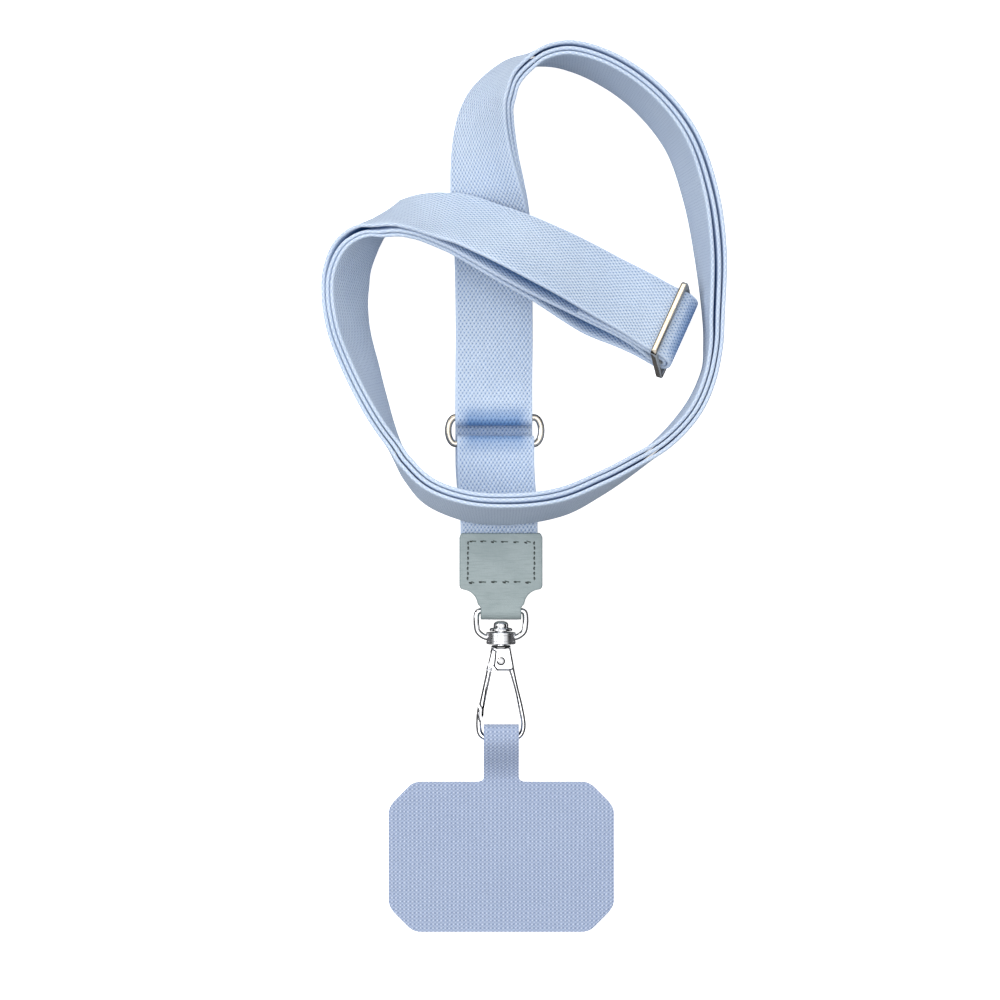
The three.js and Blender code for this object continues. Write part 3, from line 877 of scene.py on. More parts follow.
def new_material(name: str) -> tuple[bpy.types.Material, Nodes, bpy.types.Node]:
    """A material with its main shader.

    Args:
        name: The material's name.

    Returns:
        The material, its helper and its Principled BSDF.
    """
    material = bpy.data.materials.new(name)
    material.use_nodes = True
    helper = Nodes(material.node_tree)
    return material, helper, material.node_tree.nodes["Principled BSDF"]


@dataclass(frozen=True)
class ClothFinish:
    """Woven cloth that follows the piece's own UV map, in millimetres."""

    name: str
    yarn: Colour
    # The crown colour is a painted highlight on the yarns' tops; the gap colour is a painted shade between the yarns,
    # which the yarn also drifts towards at random.
    crown: Colour
    gap: Colour
    # The next colour is a painted shade multiplied in where layers and folds lie tucked together, and the one after it
    # a painted bounce glow added in the same places.
    painted_shade_colour: Colour
    painted_bounce_glow: Colour
    column_pitch: float
    row_pitch: float
    slant: float
    rib: float
    fuzz: float
    relief: float
    face_width: float = 0.0
    round_width: float = 1.0

    def build(self, effects: Effects) -> bpy.types.Material:
        """Make the material.

        Args:
            effects: The shared node groups.

        Returns:
            The material.
        """
        material, n, shader = new_material(self.name)
        uv = n.add("ShaderNodeUVMap", uv_map=WEAVE_MAP)
        parts = n.fill(n.add("ShaderNodeSeparateXYZ"), Vector=uv.outputs[0])
        across, along = (n.math("MULTIPLY", parts.outputs[axis], MM_PER_UV) for axis in "XY")
        weave = n.group(
            effects.weave,
            Across=across,
            Along=along,
            Column_Pitch=self.column_pitch,
            Row_Pitch=self.row_pitch,
            Slant=self.slant,
            Rib=self.rib,
            Fuzz=self.fuzz,
        )
        gap, height = weave.outputs["Gap"], weave.outputs["Height"]
        if self.face_width > 0:
            turn = n.math("MODULO", across, self.round_width / 2)
            aside = n.math("ABSOLUTE", n.math("SUBTRACT", turn, self.face_width / 2))
            inside = n.band(aside, self.face_width / 2 + 0.1, self.face_width / 2 - 0.5, 0.22, 1.0)
            gap, height = n.math("MULTIPLY", gap, inside), n.math("MULTIPLY", height, inside)
        # Painted shade: the tuck attribute multiplies the cloth by its shade colour where layers and folds lie
        # together, and adds a painted bounce glow there.
        painted_shade = n.add("ShaderNodeAttribute", attribute_name=PAINTED_SHADE_ATTRIBUTE).outputs["Fac"]
        cloud = n.band(n.noise(n.place(), 60.0, 3.0), 0.3, 0.7)
        body = n.mix(n.math("MULTIPLY", cloud, 0.12), linear(self.yarn), linear(self.gap))
        # The crowns get a painted highlight and the gaps between the yarns a painted shade.
        crowned = n.mix(weave.outputs["Crown"], body, linear(self.crown))
        gapped = n.mix(gap, crowned, linear(self.gap))
        n.fill(
            shader,
            Base_Color=n.mix(painted_shade, gapped, linear(self.painted_shade_colour), "MULTIPLY"),
            Emission_Color=n.mix(painted_shade, (0.0, 0.0, 0.0, 1.0), linear(self.painted_bounce_glow)),
            Emission_Strength=1.0,
            Roughness=0.85,
            Specular_IOR_Level=0.25,
            Sheen_Weight=0.25,
            Sheen_Roughness=0.5,
            Sheen_Tint=linear(self.crown),
            Normal=n.bump(height, 0.8, self.relief * MM),
        )
        return material


@dataclass(frozen=True)
class LeatherFinish:
    """Smooth leather with fine grain, or its painted edge."""

    name: str
    hide: Colour
    shade: Colour
    roughness: float
    relief: float

    def build(self, effects: Effects) -> bpy.types.Material:
        """Make the material.

        Args:
            effects: The shared node groups.

        Returns:
            The material.
        """
        material, n, shader = new_material(self.name)
        grain = n.group(effects.grain, Place=n.place(), Crease=0.5).outputs
        cloud = n.mix(n.math("MULTIPLY", grain["Cloud"], 0.3), linear(self.hide), linear(self.shade))
        n.fill(
            shader,
            Base_Color=n.mix(n.math("MULTIPLY", grain["Pores"], 0.5), cloud, linear(self.shade)),
            Roughness=n.math("MULTIPLY_ADD", grain["Cloud"], 0.1, self.roughness),
            Specular_IOR_Level=0.35,
            Normal=n.bump(grain["Height"], 0.6, self.relief * MM),
        )
        return material


@dataclass(frozen=True)
class MetalFinish:
    """Polished or plated metal with light handling marks."""

    name: str
    plating: Colour
    dulled: Colour
    least: float
    most: float
    scratch_depth: float = 0.02

    def build(self, effects: Effects) -> bpy.types.Material:
        """Make the material.

        Args:
            effects: The shared node groups.

        Returns:
            The material.
        """
        material, n, shader = new_material(self.name)
        marks = n.group(effects.smudge, Place=n.place(), Least=self.least, Most=self.most).outputs
        n.fill(
            shader,
            Base_Color=n.mix(n.math("MULTIPLY", marks["Marks"], 0.5), linear(self.plating), linear(self.dulled)),
            Roughness=marks["Roughness"],
            Metallic=1.0,
            Normal=n.bump(marks["Height"], 0.15, self.scratch_depth * MM),
        )
        return material


@dataclass(frozen=True)
class ThreadFinish:
    """Twisted sewing thread, or the dark colour of a painted shade in a needle hole or a recess."""

    name: str
    thread: Colour
    shade: Colour
    relief: float = 0.03

    def build(self) -> bpy.types.Material:
        """Make the material.

        Returns:
            The material.
        """
        material, n, shader = new_material(self.name)
        wave = n.add("ShaderNodeTexWave", wave_type="BANDS", bands_direction="DIAGONAL")
        twist = n.fill(wave, Vector=n.place(), Scale=1500.0, Distortion=1.0).outputs["Fac"]
        n.fill(
            shader,
            Base_Color=n.mix(twist, linear(self.shade), linear(self.thread)),
            Roughness=0.7,
            Normal=n.bump(twist, 0.5, self.relief * MM),
        )
        return material


class Finishes:
    """All the strap's materials, made once."""

    def __init__(self, effects: Effects) -> None:
        """Make the materials.

        Args:
            effects: The shared node groups.
        """
        self.webbing = ClothFinish(
            name="webbing_weave",
            yarn=(198, 214, 236),
            # Painted highlight on the crowns, painted shade in the gaps, and painted shade with a bounce glow where the
            # layers lie together.
            crown=(222, 234, 248),
            gap=(98, 134, 184),
            painted_shade_colour=(98, 150, 196),
            painted_bounce_glow=(3, 20, 44),
            column_pitch=1.02,
            row_pitch=0.78,
            slant=0.14,
            rib=0.0,
            fuzz=0.35,
            relief=0.15,
            face_width=Webbing.face_width(),
            round_width=Webbing.round_width(),
        ).build(effects)
        self.patch = ClothFinish(
            name="patch_weave",
            yarn=(162, 177, 206),
            crown=(200, 211, 233),
            gap=(134, 150, 186),
            painted_shade_colour=(120, 135, 185),
            painted_bounce_glow=(0, 0, 0),
            column_pitch=1.1,
            row_pitch=0.5,
            slant=0.1,
            rib=0.35,
            fuzz=0.4,
            relief=0.12,
        ).build(effects)
        self.leather = LeatherFinish("tab_leather", (164, 177, 179), (132, 147, 149), 0.5, 0.03).build(effects)
        edge = LeatherFinish("tab_edge_paint", (132, 147, 149), (112, 127, 129), 0.38, 0.015)
        self.leather_edge = edge.build(effects)
        self.nickel = MetalFinish("warm_nickel", (214, 205, 191), (184, 174, 158), 0.1, 0.22).build(effects)
        self.chrome = MetalFinish("polished_chrome", (232, 233, 236), (214, 214, 216), 0.05, 0.14).build(effects)
        self.satin = MetalFinish("satin_chrome", (226, 227, 230), (206, 206, 208), 0.24, 0.32).build(effects)
        self.thread = ThreadFinish("sewing_thread", (104, 117, 115), (74, 84, 82)).build()
        # Dark pits that paint the shade inside the needle holes.
        self.hole_shade = ThreadFinish("needle_hole_shade", (62, 70, 68), (44, 50, 50)).build()
        # Black band that paints the shadow between the barrel and the head.
        self.recess_shadow = ThreadFinish("painted_recess_shadow", (30, 30, 32), (20, 20, 22)).build()


# Webbing


@dataclass(frozen=True)
class PaintedShade:
    """Painted shade on a webbing's outer and inner faces where they lie between other layers, from 0 to 1."""

    outer: float = 0.0
    inner: float = 0.0


@dataclass
class Section:
    """One section of a webbing: its middle, the direction across it and the painted shade on its faces."""

    p: np.ndarray
    w: np.ndarray
    painted_shade: PaintedShade = PaintedShade()


@dataclass
class LoopFrame:
    """One place on the loop's course."""

    p: np.ndarray
    t: np.ndarray
    w: np.ndarray
    front: np.ndarray
    front_gap: float
    back_gap: float
    from_slider: float = 0.0
    from_ring: float = 0.0

    @staticmethod
    def depth(gap: float) -> float:
        """Strength of the painted shade in the gap between two layers.

        Args:
            gap: Its extra room in millimetres.

        Returns:
            0 to 1.
        """
        return min(1.0, 0.35 + 1.6 * gap)

    @property
    def front_painted_shade(self) -> PaintedShade:
        """Painted shade of the front layer: darker where it rolls over the ring."""
        return PaintedShade(0.62 * smoothstep(4.2 - self.from_ring, 0, 4.2), self.depth(self.front_gap))

    @property
    def middle_painted_shade(self) -> PaintedShade:
        """Painted shade of the middle layer, whose inner face is towards the front."""
        return PaintedShade(self.depth(self.back_gap), self.depth(self.front_gap))

    @property
    def back_painted_shade(self) -> PaintedShade:
        """Painted shade of the back layer, lighter where it comes into the open at the ring."""
        return PaintedShade(0.0, lerp(0.35, self.depth(self.back_gap), smoothstep(self.from_ring, 0.5, 3.0)))

    @property
    def flap_painted_shade(self) -> PaintedShade:
        """Painted shade of the sewn flap."""
        return PaintedShade(0.7, 0.7)


COURSE_ROWS: tuple[tuple[float, float, float, float, float, float], ...] = (
    (0.0, 0.0, 0, 0.0, 2.1, 0.0),
    (0.0, 0.045, 0, 0.0, 1.2, 0.0),
    (0.0, 0.105, 0, 0.0, 0.3, 0.0),
    (0.001, 0.246, 0, 0.03, 0.0, 0.0),
    (-0.002, 0.454, 1, 0.04, 0.0, 0.0),
    (-0.005, 0.526, 7, 0.0, 0.0, 0.0),
    (-0.011, 0.584, 15, 0.0, 0.0, 0.0),
    (-0.018, 0.645, 27, 0.0, 0.0, 0.0),
    (-0.024, 0.715, 38, 0.0, 0.1, 0.0),
    (-0.025, 0.772, 45, 0.0, 0.1, 0.1),
    (-0.02, 0.823, 51, 0.0, 0.1, 0.1),
    (-0.007, 0.87, 58, 0.0, 0.1, 0.2),
    (0.015, 0.909, 65, 0.0, 0.1, 0.2),
    (0.04, 0.941, 72, 0.01, 0.2, 0.1),
    (0.071, 0.965, 77, 0.01, 0.3, 0.1),
    (0.131, 0.99, 87, 0.0, 0.4, 0.0),
    (0.205, 0.992, 95, 0.0, 0.4, 0.0),
    (0.305, 0.955, 99, 0.0, 0.4, 0.0),
    (0.41, 0.879, 101, 0.0, 0.4, 0.0),
    (0.502, 0.764, 102, 0.0, 0.4, 0.1),
    (0.557, 0.612, 102, 0.0, 0.4, 0.3),
    (0.585, 0.451, 99, 0.0, 0.3, 0.5),
    (0.594, 0.277, 92, 0.0, 0.1, 0.4),
    (0.593, 0.201, 91, 0.0, 0.0, 0.2),
    (0.582, 0.124, 90, 0.0, 0.0, 0.0),
    (0.54, 0.025, 92, 0.01, 0.0, 0.0),
    (0.464, -0.065, 91, 0.02, 0.1, 0.0),
    (0.38, -0.127, 87, 0.14, 0.2, 0.0),
    (0.286, -0.184, 83, 0.83, 0.3, 0.0),
    (0.183, -0.232, 79, 1.67, 0.3, 0.0),
    (0.066, -0.252, 77, 2.0, 0.3, 0.0),
    (-0.063, -0.247, 77, 1.94, 0.2, 0.0),
    (-0.169, -0.207, 80, 1.33, 0.2, 0.0),
    (-0.23, -0.147, 85, 0.61, 0.1, 0.0),
    (-0.27, -0.078, 90, 0.14, 0.0, 0.0),
    (-0.315, 0.019, 99, 0.01, 0.0, 0.0),
    (-0.357, 0.131, 107, 0.01, 0.0, 0.0),
    (-0.392, 0.245, 112, 0.01, 0.0, 0.0),
    (-0.401, 0.344, 115, 0.0, 0.0, 0.0),
    (-0.387, 0.426, 112, 0.0, 0.4, 0.0),
    (-0.352, 0.484, 102, 0.17, 0.9, 0.0),
    (-0.312, 0.519, 88, 0.61, 1.0, 0.0),
    (-0.264, 0.539, 71, 1.11, 0.6, 0.0),
    (-0.232, 0.544, 63, 1.28, 0.2, 0.0),
    (-0.191, 0.545, 56, 1.39, 0.0, 0.0),
    (-0.141, 0.538, 50, 1.47, 0.3, 0.0),
    (-0.087, 0.522, 46, 1.61, 1.0, 0.0),
    (-0.018, 0.487, 43, 1.94, 2.1, 0.1),
    (0.059, 0.446, 39, 2.3, 3.3, 0.3),
    (0.141, 0.406, 36, 2.15, 3.6, 0.8),
    (0.224, 0.369, 33, 1.9, 3.0, 2.9),
    (0.299, 0.334, 31, 1.7, 2.2, 4.1),
    (0.374, 0.299, 29, 1.5, 1.6, 3.2),
    (0.433, 0.266, 27, 1.2, 1.5, 2.0),
    (0.482, 0.239, 24, 1.11, 1.6, 1.6),
)


class LoopCourse:
    """The loop's course from the ring's upper bar clockwise to the slider.

    Each row of COURSE_ROWS gives the place across and along in shares of the loop's span and rise, the angle
    the webbing stands at in degrees, the height of its lower edge in shares of the stack, and the extra room in
    front of and behind the middle layer.
    """

    def __init__(self, step: float) -> None:
        """Lay the course.

        Args:
            step: Distance between two sections in millimetres.
        """
        s = SIZES
        rows = [list(row) for row in COURSE_ROWS]
        rows[0][4] = (2 * s.fold_radius - s.layer_pitch) / s.webbing_thickness
        rows[-1][4] = rows[-1][5] = (s.fold_radius_slider + s.piece_gap) / s.webbing_thickness
        self.line = SmoothLine([self._middle(row) for row in rows])
        self.gaps = SmoothLine([(math.radians(row[2]), row[4], row[5]) for row in rows])
        self.frames = [self._frame(u) for u in self._steps(step)]
        left = 0.0
        for a, b in zip(self.frames[-2::-1], self.frames[:0:-1]):
            left += float(np.linalg.norm(a.p - b.p))
            a.from_slider = left
        for frame in self.frames:
            frame.from_ring = left - frame.from_slider

    @staticmethod
    def _middle(row: Sequence[float]) -> Point:
        """Middle of the stack at one row, in millimetres."""
        s = SIZES
        across, along, lean, lift, front_gap, _ = row
        spread = front_gap * s.webbing_thickness if lean > 90 else 0.0
        a = math.radians(lean)
        rise = s.webbing_width / 2 * math.sin(a) + (s.stack_height / 2 + spread) * abs(math.cos(a))
        x, y = s.band_x + across * s.loop_span, s.ring_upper_y + along * s.loop_rise
        return (x, y, lift * s.stack_height + rise)

    def _steps(self, step: float) -> list[float]:
        """Shares of the rows at which a section stands."""
        rows = len(COURSE_ROWS) - 1
        steps = []
        for i in range(rows):
            run = float(np.linalg.norm(self.line.at((i + 1) / rows) - self.line.at(i / rows)))
            parts = max(1, round(run / step))
            steps += [(i + k / parts) / rows for k in range(parts)]
        return [*steps, 1.0]

    def _frame(self, u: float) -> LoopFrame:
        """The course at share u of its rows."""
        p, t, extra = self.line.at(u), self.line.tangent(u), self.gaps.at(u)
        inward = unit(np.array([t[1], -t[0], 0.0]))
        w = inward * math.cos(extra[0]) + np.array([0, 0, 1.0]) * math.sin(extra[0])
        w = unit(w - t * float(w @ t))
        thickness = SIZES.webbing_thickness
        return LoopFrame(p, t, w, unit(np.cross(w, t)), max(extra[1], 0) * thickness, max(extra[2], 0) * thickness)

    @property
    def at_ring(self) -> LoopFrame:
        """The course's first place."""
        return self.frames[0]

    @property
    def at_slider(self) -> LoopFrame:
        """The course's last place."""
        return self.frames[-1]

    @staticmethod
    def near_slider(frame: LoopFrame) -> float:
        """Share of the way from the loop's own level to the slider's bar."""
        return smoothstep(9 - frame.from_slider, 0, 9)

    def front(self, frame: LoopFrame) -> float:
        """Offset of the front layer."""
        return SIZES.layer_pitch + frame.front_gap

    def middle(self, frame: LoopFrame) -> float:
        """Offset of the middle layer."""
        return -SIZES.fold_radius_slider * self.near_slider(frame)

    def back(self, frame: LoopFrame) -> float:
        """Offset of the back layer."""
        return -SIZES.layer_pitch - frame.back_gap

    def flap(self, frame: LoopFrame) -> float:
        """Offset of the sewn flap."""
        return lerp(SIZES.layer_pitch, SIZES.fold_radius_slider, self.near_slider(frame))

    def layer(
        self,
        offset: Callable[[LoopFrame], float],
        frames: Sequence[LoopFrame],
        painted_shade: Callable[[LoopFrame], PaintedShade],
    ) -> list[Section]:
        """Sections of one layer.

        Args:
            offset: Offset of the layer from the course, towards its front.
            frames: The places.
            painted_shade: Painted shade on its faces at each place, where they lie tucked away.

        Returns:
            The sections.
        """
        return [Section(f.p + f.front * offset(f), f.w, painted_shade(f)) for f in frames]


@dataclass
class Webbing:
    """Base of the webbing pieces: the cloth's section and how it is laid along a course."""

    finishes: Finishes
    crown: float = 0.0
    edge_round: float = 0.42
    edge_steps: int = 3
    flat_steps: int = 6

    @classmethod
    def face_width(cls) -> float:
        """Width of the webbing's flat face."""
        return SIZES.webbing_width - 2 * cls.edge_round

    @classmethod
    def round_width(cls) -> float:
        """Way round the webbing's section."""
        side = SIZES.webbing_thickness - 2 * cls.edge_round
        return 2 * cls.face_width() + 2 * side + 2 * math.pi * cls.edge_round

    def outline(self) -> list[tuple[float, float, float]]:
        """The webbing's section.

        Returns:
            Across, through and the distance round the section, in millimetres, one turn.
        """
        half_w, half_t = SIZES.webbing_width / 2, SIZES.webbing_thickness / 2
        r = self.edge_round
        points: list[Flat] = []
        for sign, start in ((1, -90), (-1, 90)):
            across = [lerp(-(half_w - r), half_w - r, i / self.flat_steps) for i in range(self.flat_steps)]
            points += [(sign * x, -sign * half_t) for x in across]
            for i in range(self.edge_steps + 1):
                a = math.radians(start + 90 * i / self.edge_steps)
                points.append((sign * (half_w - r) + r * math.cos(a), -sign * (half_t - r) + r * math.sin(a)))
            for i in range(1, self.edge_steps + 1):
                a = math.radians(start + 90 + 90 * i / self.edge_steps)
                points.append((sign * (half_w - r) + r * math.cos(a), sign * (half_t - r) + r * math.sin(a)))
        clean: list[Flat] = []
        for p in points:
            if not clean or math.dist(p, clean[-1]) > 1e-6:
                clean.append(p)
        if math.dist(clean[0], clean[-1]) < 1e-6:
            clean.pop()
        total, turned = 0.0, []
        for i, p in enumerate(clean):
            total += math.dist(p, clean[i - 1]) if i else 0.0
            turned.append((p[0], p[1], total))
        return turned

    def laid(self, name: str, sections: Sequence[Section]) -> bpy.types.Object:
        """Lay the webbing along sections.

        Args:
            name: The new object's name.
            sections: The sections in order, in millimetres.

        Returns:
            The closed mesh, with its weave map and its attribute of painted shade.
        """
        outline = self.outline()
        count = len(outline)
        places, painted_shades, along = [], [], []
        travelled = 0.0
        for i, section in enumerate(sections):
            before, after = sections[max(i - 1, 0)].p, sections[min(i + 1, len(sections) - 1)].p
            t = unit(after - before)
            w = unit(section.w - t * float(section.w @ t))
            m = np.cross(t, w)
            if i:
                travelled += float(np.linalg.norm(section.p - sections[i - 1].p))
            along.append(travelled)
            for across, through, _ in outline:
                places.append(tuple((section.p + w * across + m * through) * MM))
                # Painted shade at each corner, from its share between the outer and inner face, faded out towards the
                # webbing's edges.
                face = lerp(section.painted_shade.outer, section.painted_shade.inner, through / SIZES.webbing_thickness + 0.5)
                painted_shades.append(face * smoothstep(SIZES.webbing_width / 2 - abs(across), 0.25, 1.6))
        faces, maps = [], []
        total = outline[-1][2] + math.dist(outline[-1][:2], outline[0][:2])
        for i in range(len(sections) - 1):
            for j in range(count):
                k = (j + 1) % count
                faces.append((i * count + j, (i + 1) * count + j, (i + 1) * count + k, i * count + k))
                a, b = outline[j][2], outline[k][2] if k else total
                maps += [(a, along[i]), (a, along[i + 1]), (b, along[i + 1]), (b, along[i])]
        for ring, last in ((0, False), (len(sections) - 1, True)):
            face = [ring * count + j for j in range(count)]
            cap = [(outline[j][0], along[ring] + outline[j][1]) for j in range(count)]
            faces.append(tuple(face[::-1] if last else face))
            maps += cap[::-1] if last else cap
        mesh = bpy.data.meshes.new(name)
        mesh.from_pydata(places, [], faces)
        layer = mesh.uv_layers.new(name="weave")
        layer.data.foreach_set("uv", np.array(maps, dtype=np.float32).ravel() / 100.0)
        painted_shade = mesh.attributes.new("painted_shade", "FLOAT", "POINT")
        painted_shade.data.foreach_set("value", np.array(painted_shades, dtype=np.float32))
        mesh.validate()
        obj = bpy.data.objects.new(name, mesh)
        bpy.context.scene.collection.objects.link(obj)
        Bench.take(obj)
        bpy.ops.object.mode_set(mode="EDIT")
        bpy.ops.mesh.select_all(action="SELECT")
        bpy.ops.mesh.normals_make_consistent(inside=False)
        bpy.ops.object.mode_set(mode="OBJECT")
        Bench.smooth(obj, 60)
        mesh.materials.append(self.finishes.webbing)
        return obj


@dataclass
class StrapWebbing(Webbing):
    """The long webbing: flap, three layers round the loop, two folds and the tail into the tab."""

    step: float = 1.3

    def near_tab(self, y: float) -> float:
        """Share of the way from the ring's level to the leather tab's."""
        run = SIZES.ring_lower_y - 4
        return smoothstep(run - y, 0, run - SIZES.leather_top_y - 1)

    def tail_places(self) -> list[float]:
        """Places along Y of the sections between the ring and the leather tab, from the tab upwards."""
        s = SIZES
        inner = [lerp(s.webbing_end_y, s.leather_top_y - 1, i / 5) for i in range(5)]
        return inner + [lerp(s.leather_top_y - 1, s.ring_lower_y, i / 22) for i in range(23)]

    def slider_turn(self, course: LoopCourse, radius: float, steps: int) -> list[Section]:
        """Half turn about the slider's middle bar.

        Args:
            course: The loop's course.
            radius: Radius of the turn.
            steps: Its steps.

        Returns:
            The sections between its two ends.
        """
        at = course.at_slider
        found = []
        for i in range(1, steps):
            a = math.pi / 2 - math.pi * i / steps
            place = at.p + at.t * (radius * math.cos(a)) + at.front * (radius * math.sin(a))
            # Painted shade round the turn: deepest half way round on its outer face, full on its inner face.
            found.append(Section(place, at.w, PaintedShade(0.15 + 0.7 * math.cos(a), 1.0)))
        return found

    def ring_turn(self, course: LoopCourse, steps: int) -> list[Section]:
        """Half turn round the ring's upper bar.

        Args:
            course: The loop's course.
            steps: Its steps.

        Returns:
            The sections between its two ends.
        """
        s, at = SIZES, course.at_ring
        z = at.p[2] + s.fold_radius
        found = []
        for i in range(1, steps):
            a = math.pi * i / steps
            y = s.ring_upper_y - s.fold_radius * math.sin(a)
            p = np.array([at.p[0], y, z - s.fold_radius * math.cos(a)])
            # Painted shade round the fold at the ring: deepest half way round on its outer face, full on its inner
            # face.
            found.append(Section(p, np.array([1.0, 0, 0]), PaintedShade(0.62 + 0.35 * math.sin(a), 1.0)))
        return found

    def tail(self, course: LoopCourse) -> list[Section]:
        """Sections from the ring down into the leather tab."""
        s = SIZES
        found = []
        for y in reversed(self.tail_places()):
            near = self.near_tab(y)
            x = lerp(course.at_ring.p[0], s.tab_webbing_x, near)
            place = np.array([x, y, lerp(s.webbing_thickness / 2, s.tab_back_z, near)])
            # Painted shade on the tail's inner face only.
            found.append(Section(place, np.array([1.0, 0, 0]), PaintedShade(0.0, 0.35)))
        return found

    def build(self, course: LoopCourse) -> bpy.types.Object:
        """Lay the whole webbing.

        Args:
            course: The loop's course.

        Returns:
            The piece.
        """
        s = SIZES
        sewn = [f for f in course.frames if f.from_slider < s.flap_length]
        sections = [
            *course.layer(course.flap, sewn, lambda f: f.flap_painted_shade),
            *self.slider_turn(course, s.fold_radius_slider, 10),
            *course.layer(course.middle, course.frames, lambda f: f.middle_painted_shade)[::-1],
            *self.ring_turn(course, 14),
            *course.layer(course.front, course.frames, lambda f: f.front_painted_shade),
            *self.slider_turn(course, s.fold_radius_slider + s.layer_pitch, 16),
            *course.layer(course.back, course.frames, lambda f: f.back_painted_shade)[::-1],
            *self.tail(course),
        ]
        obj = self.laid("strap_webbing_cloth", sections)
        settle(obj, Body.STRAP, ["strap_webbing"])
        return obj


@dataclass
class RingWebbing(Webbing):
    """Short webbing folded round the ring's lower bar, its ends in the leather tab."""

    def build(self, strap: StrapWebbing) -> bpy.types.Object:
        """Lay the short webbing.

        Args:
            strap: The long webbing, which sets how both run into the tab.

        Returns:
            The piece.
        """
        s = SIZES
        across = np.array([1.0, 0, 0])
        front_z, back_z = s.tab_back_z + 2 * s.layer_pitch, s.tab_back_z + s.layer_pitch
        front, back = [], []
        for y in strap.tail_places():
            near = strap.near_tab(y)
            x = lerp(s.ring_webbing_x, s.tab_webbing_x, near)
            # Painted shade: the front layer's outer face darkens towards the ring, the back layer is fully shaded, and
            # every inner face is shaded.
            shade = PaintedShade(0.4 * smoothstep(y, s.ring_lower_y - 3.4, s.ring_lower_y), 1.0)
            high = lerp(s.ring_z + s.fold_radius, front_z, near)
            low = lerp(s.ring_z - s.fold_radius, back_z, near)
            front.append(Section(np.array([x, y, high]), across, shade))
            back.append(Section(np.array([x, y, low]), across, PaintedShade(1.0, 1.0)))
        # Painted shade round the fold at the ring's lower bar, deepest on the far side of the bar.
        turn = [
            Section(np.array([s.ring_webbing_x, y, z]), across, PaintedShade(0.4 + 0.25 * (y - s.ring_lower_y), 1.0))
            for y, z in arc(s.ring_lower_y, s.ring_z, s.fold_radius, s.fold_radius, 90, -90, 14)[1:-1]
        ]
        sections = [*front, *turn, *back[::-1]]
        obj = self.laid("ring_webbing_cloth", sections)
        settle(obj, Body.STRAP, ["ring_webbing"])
        return obj


# Leather tab


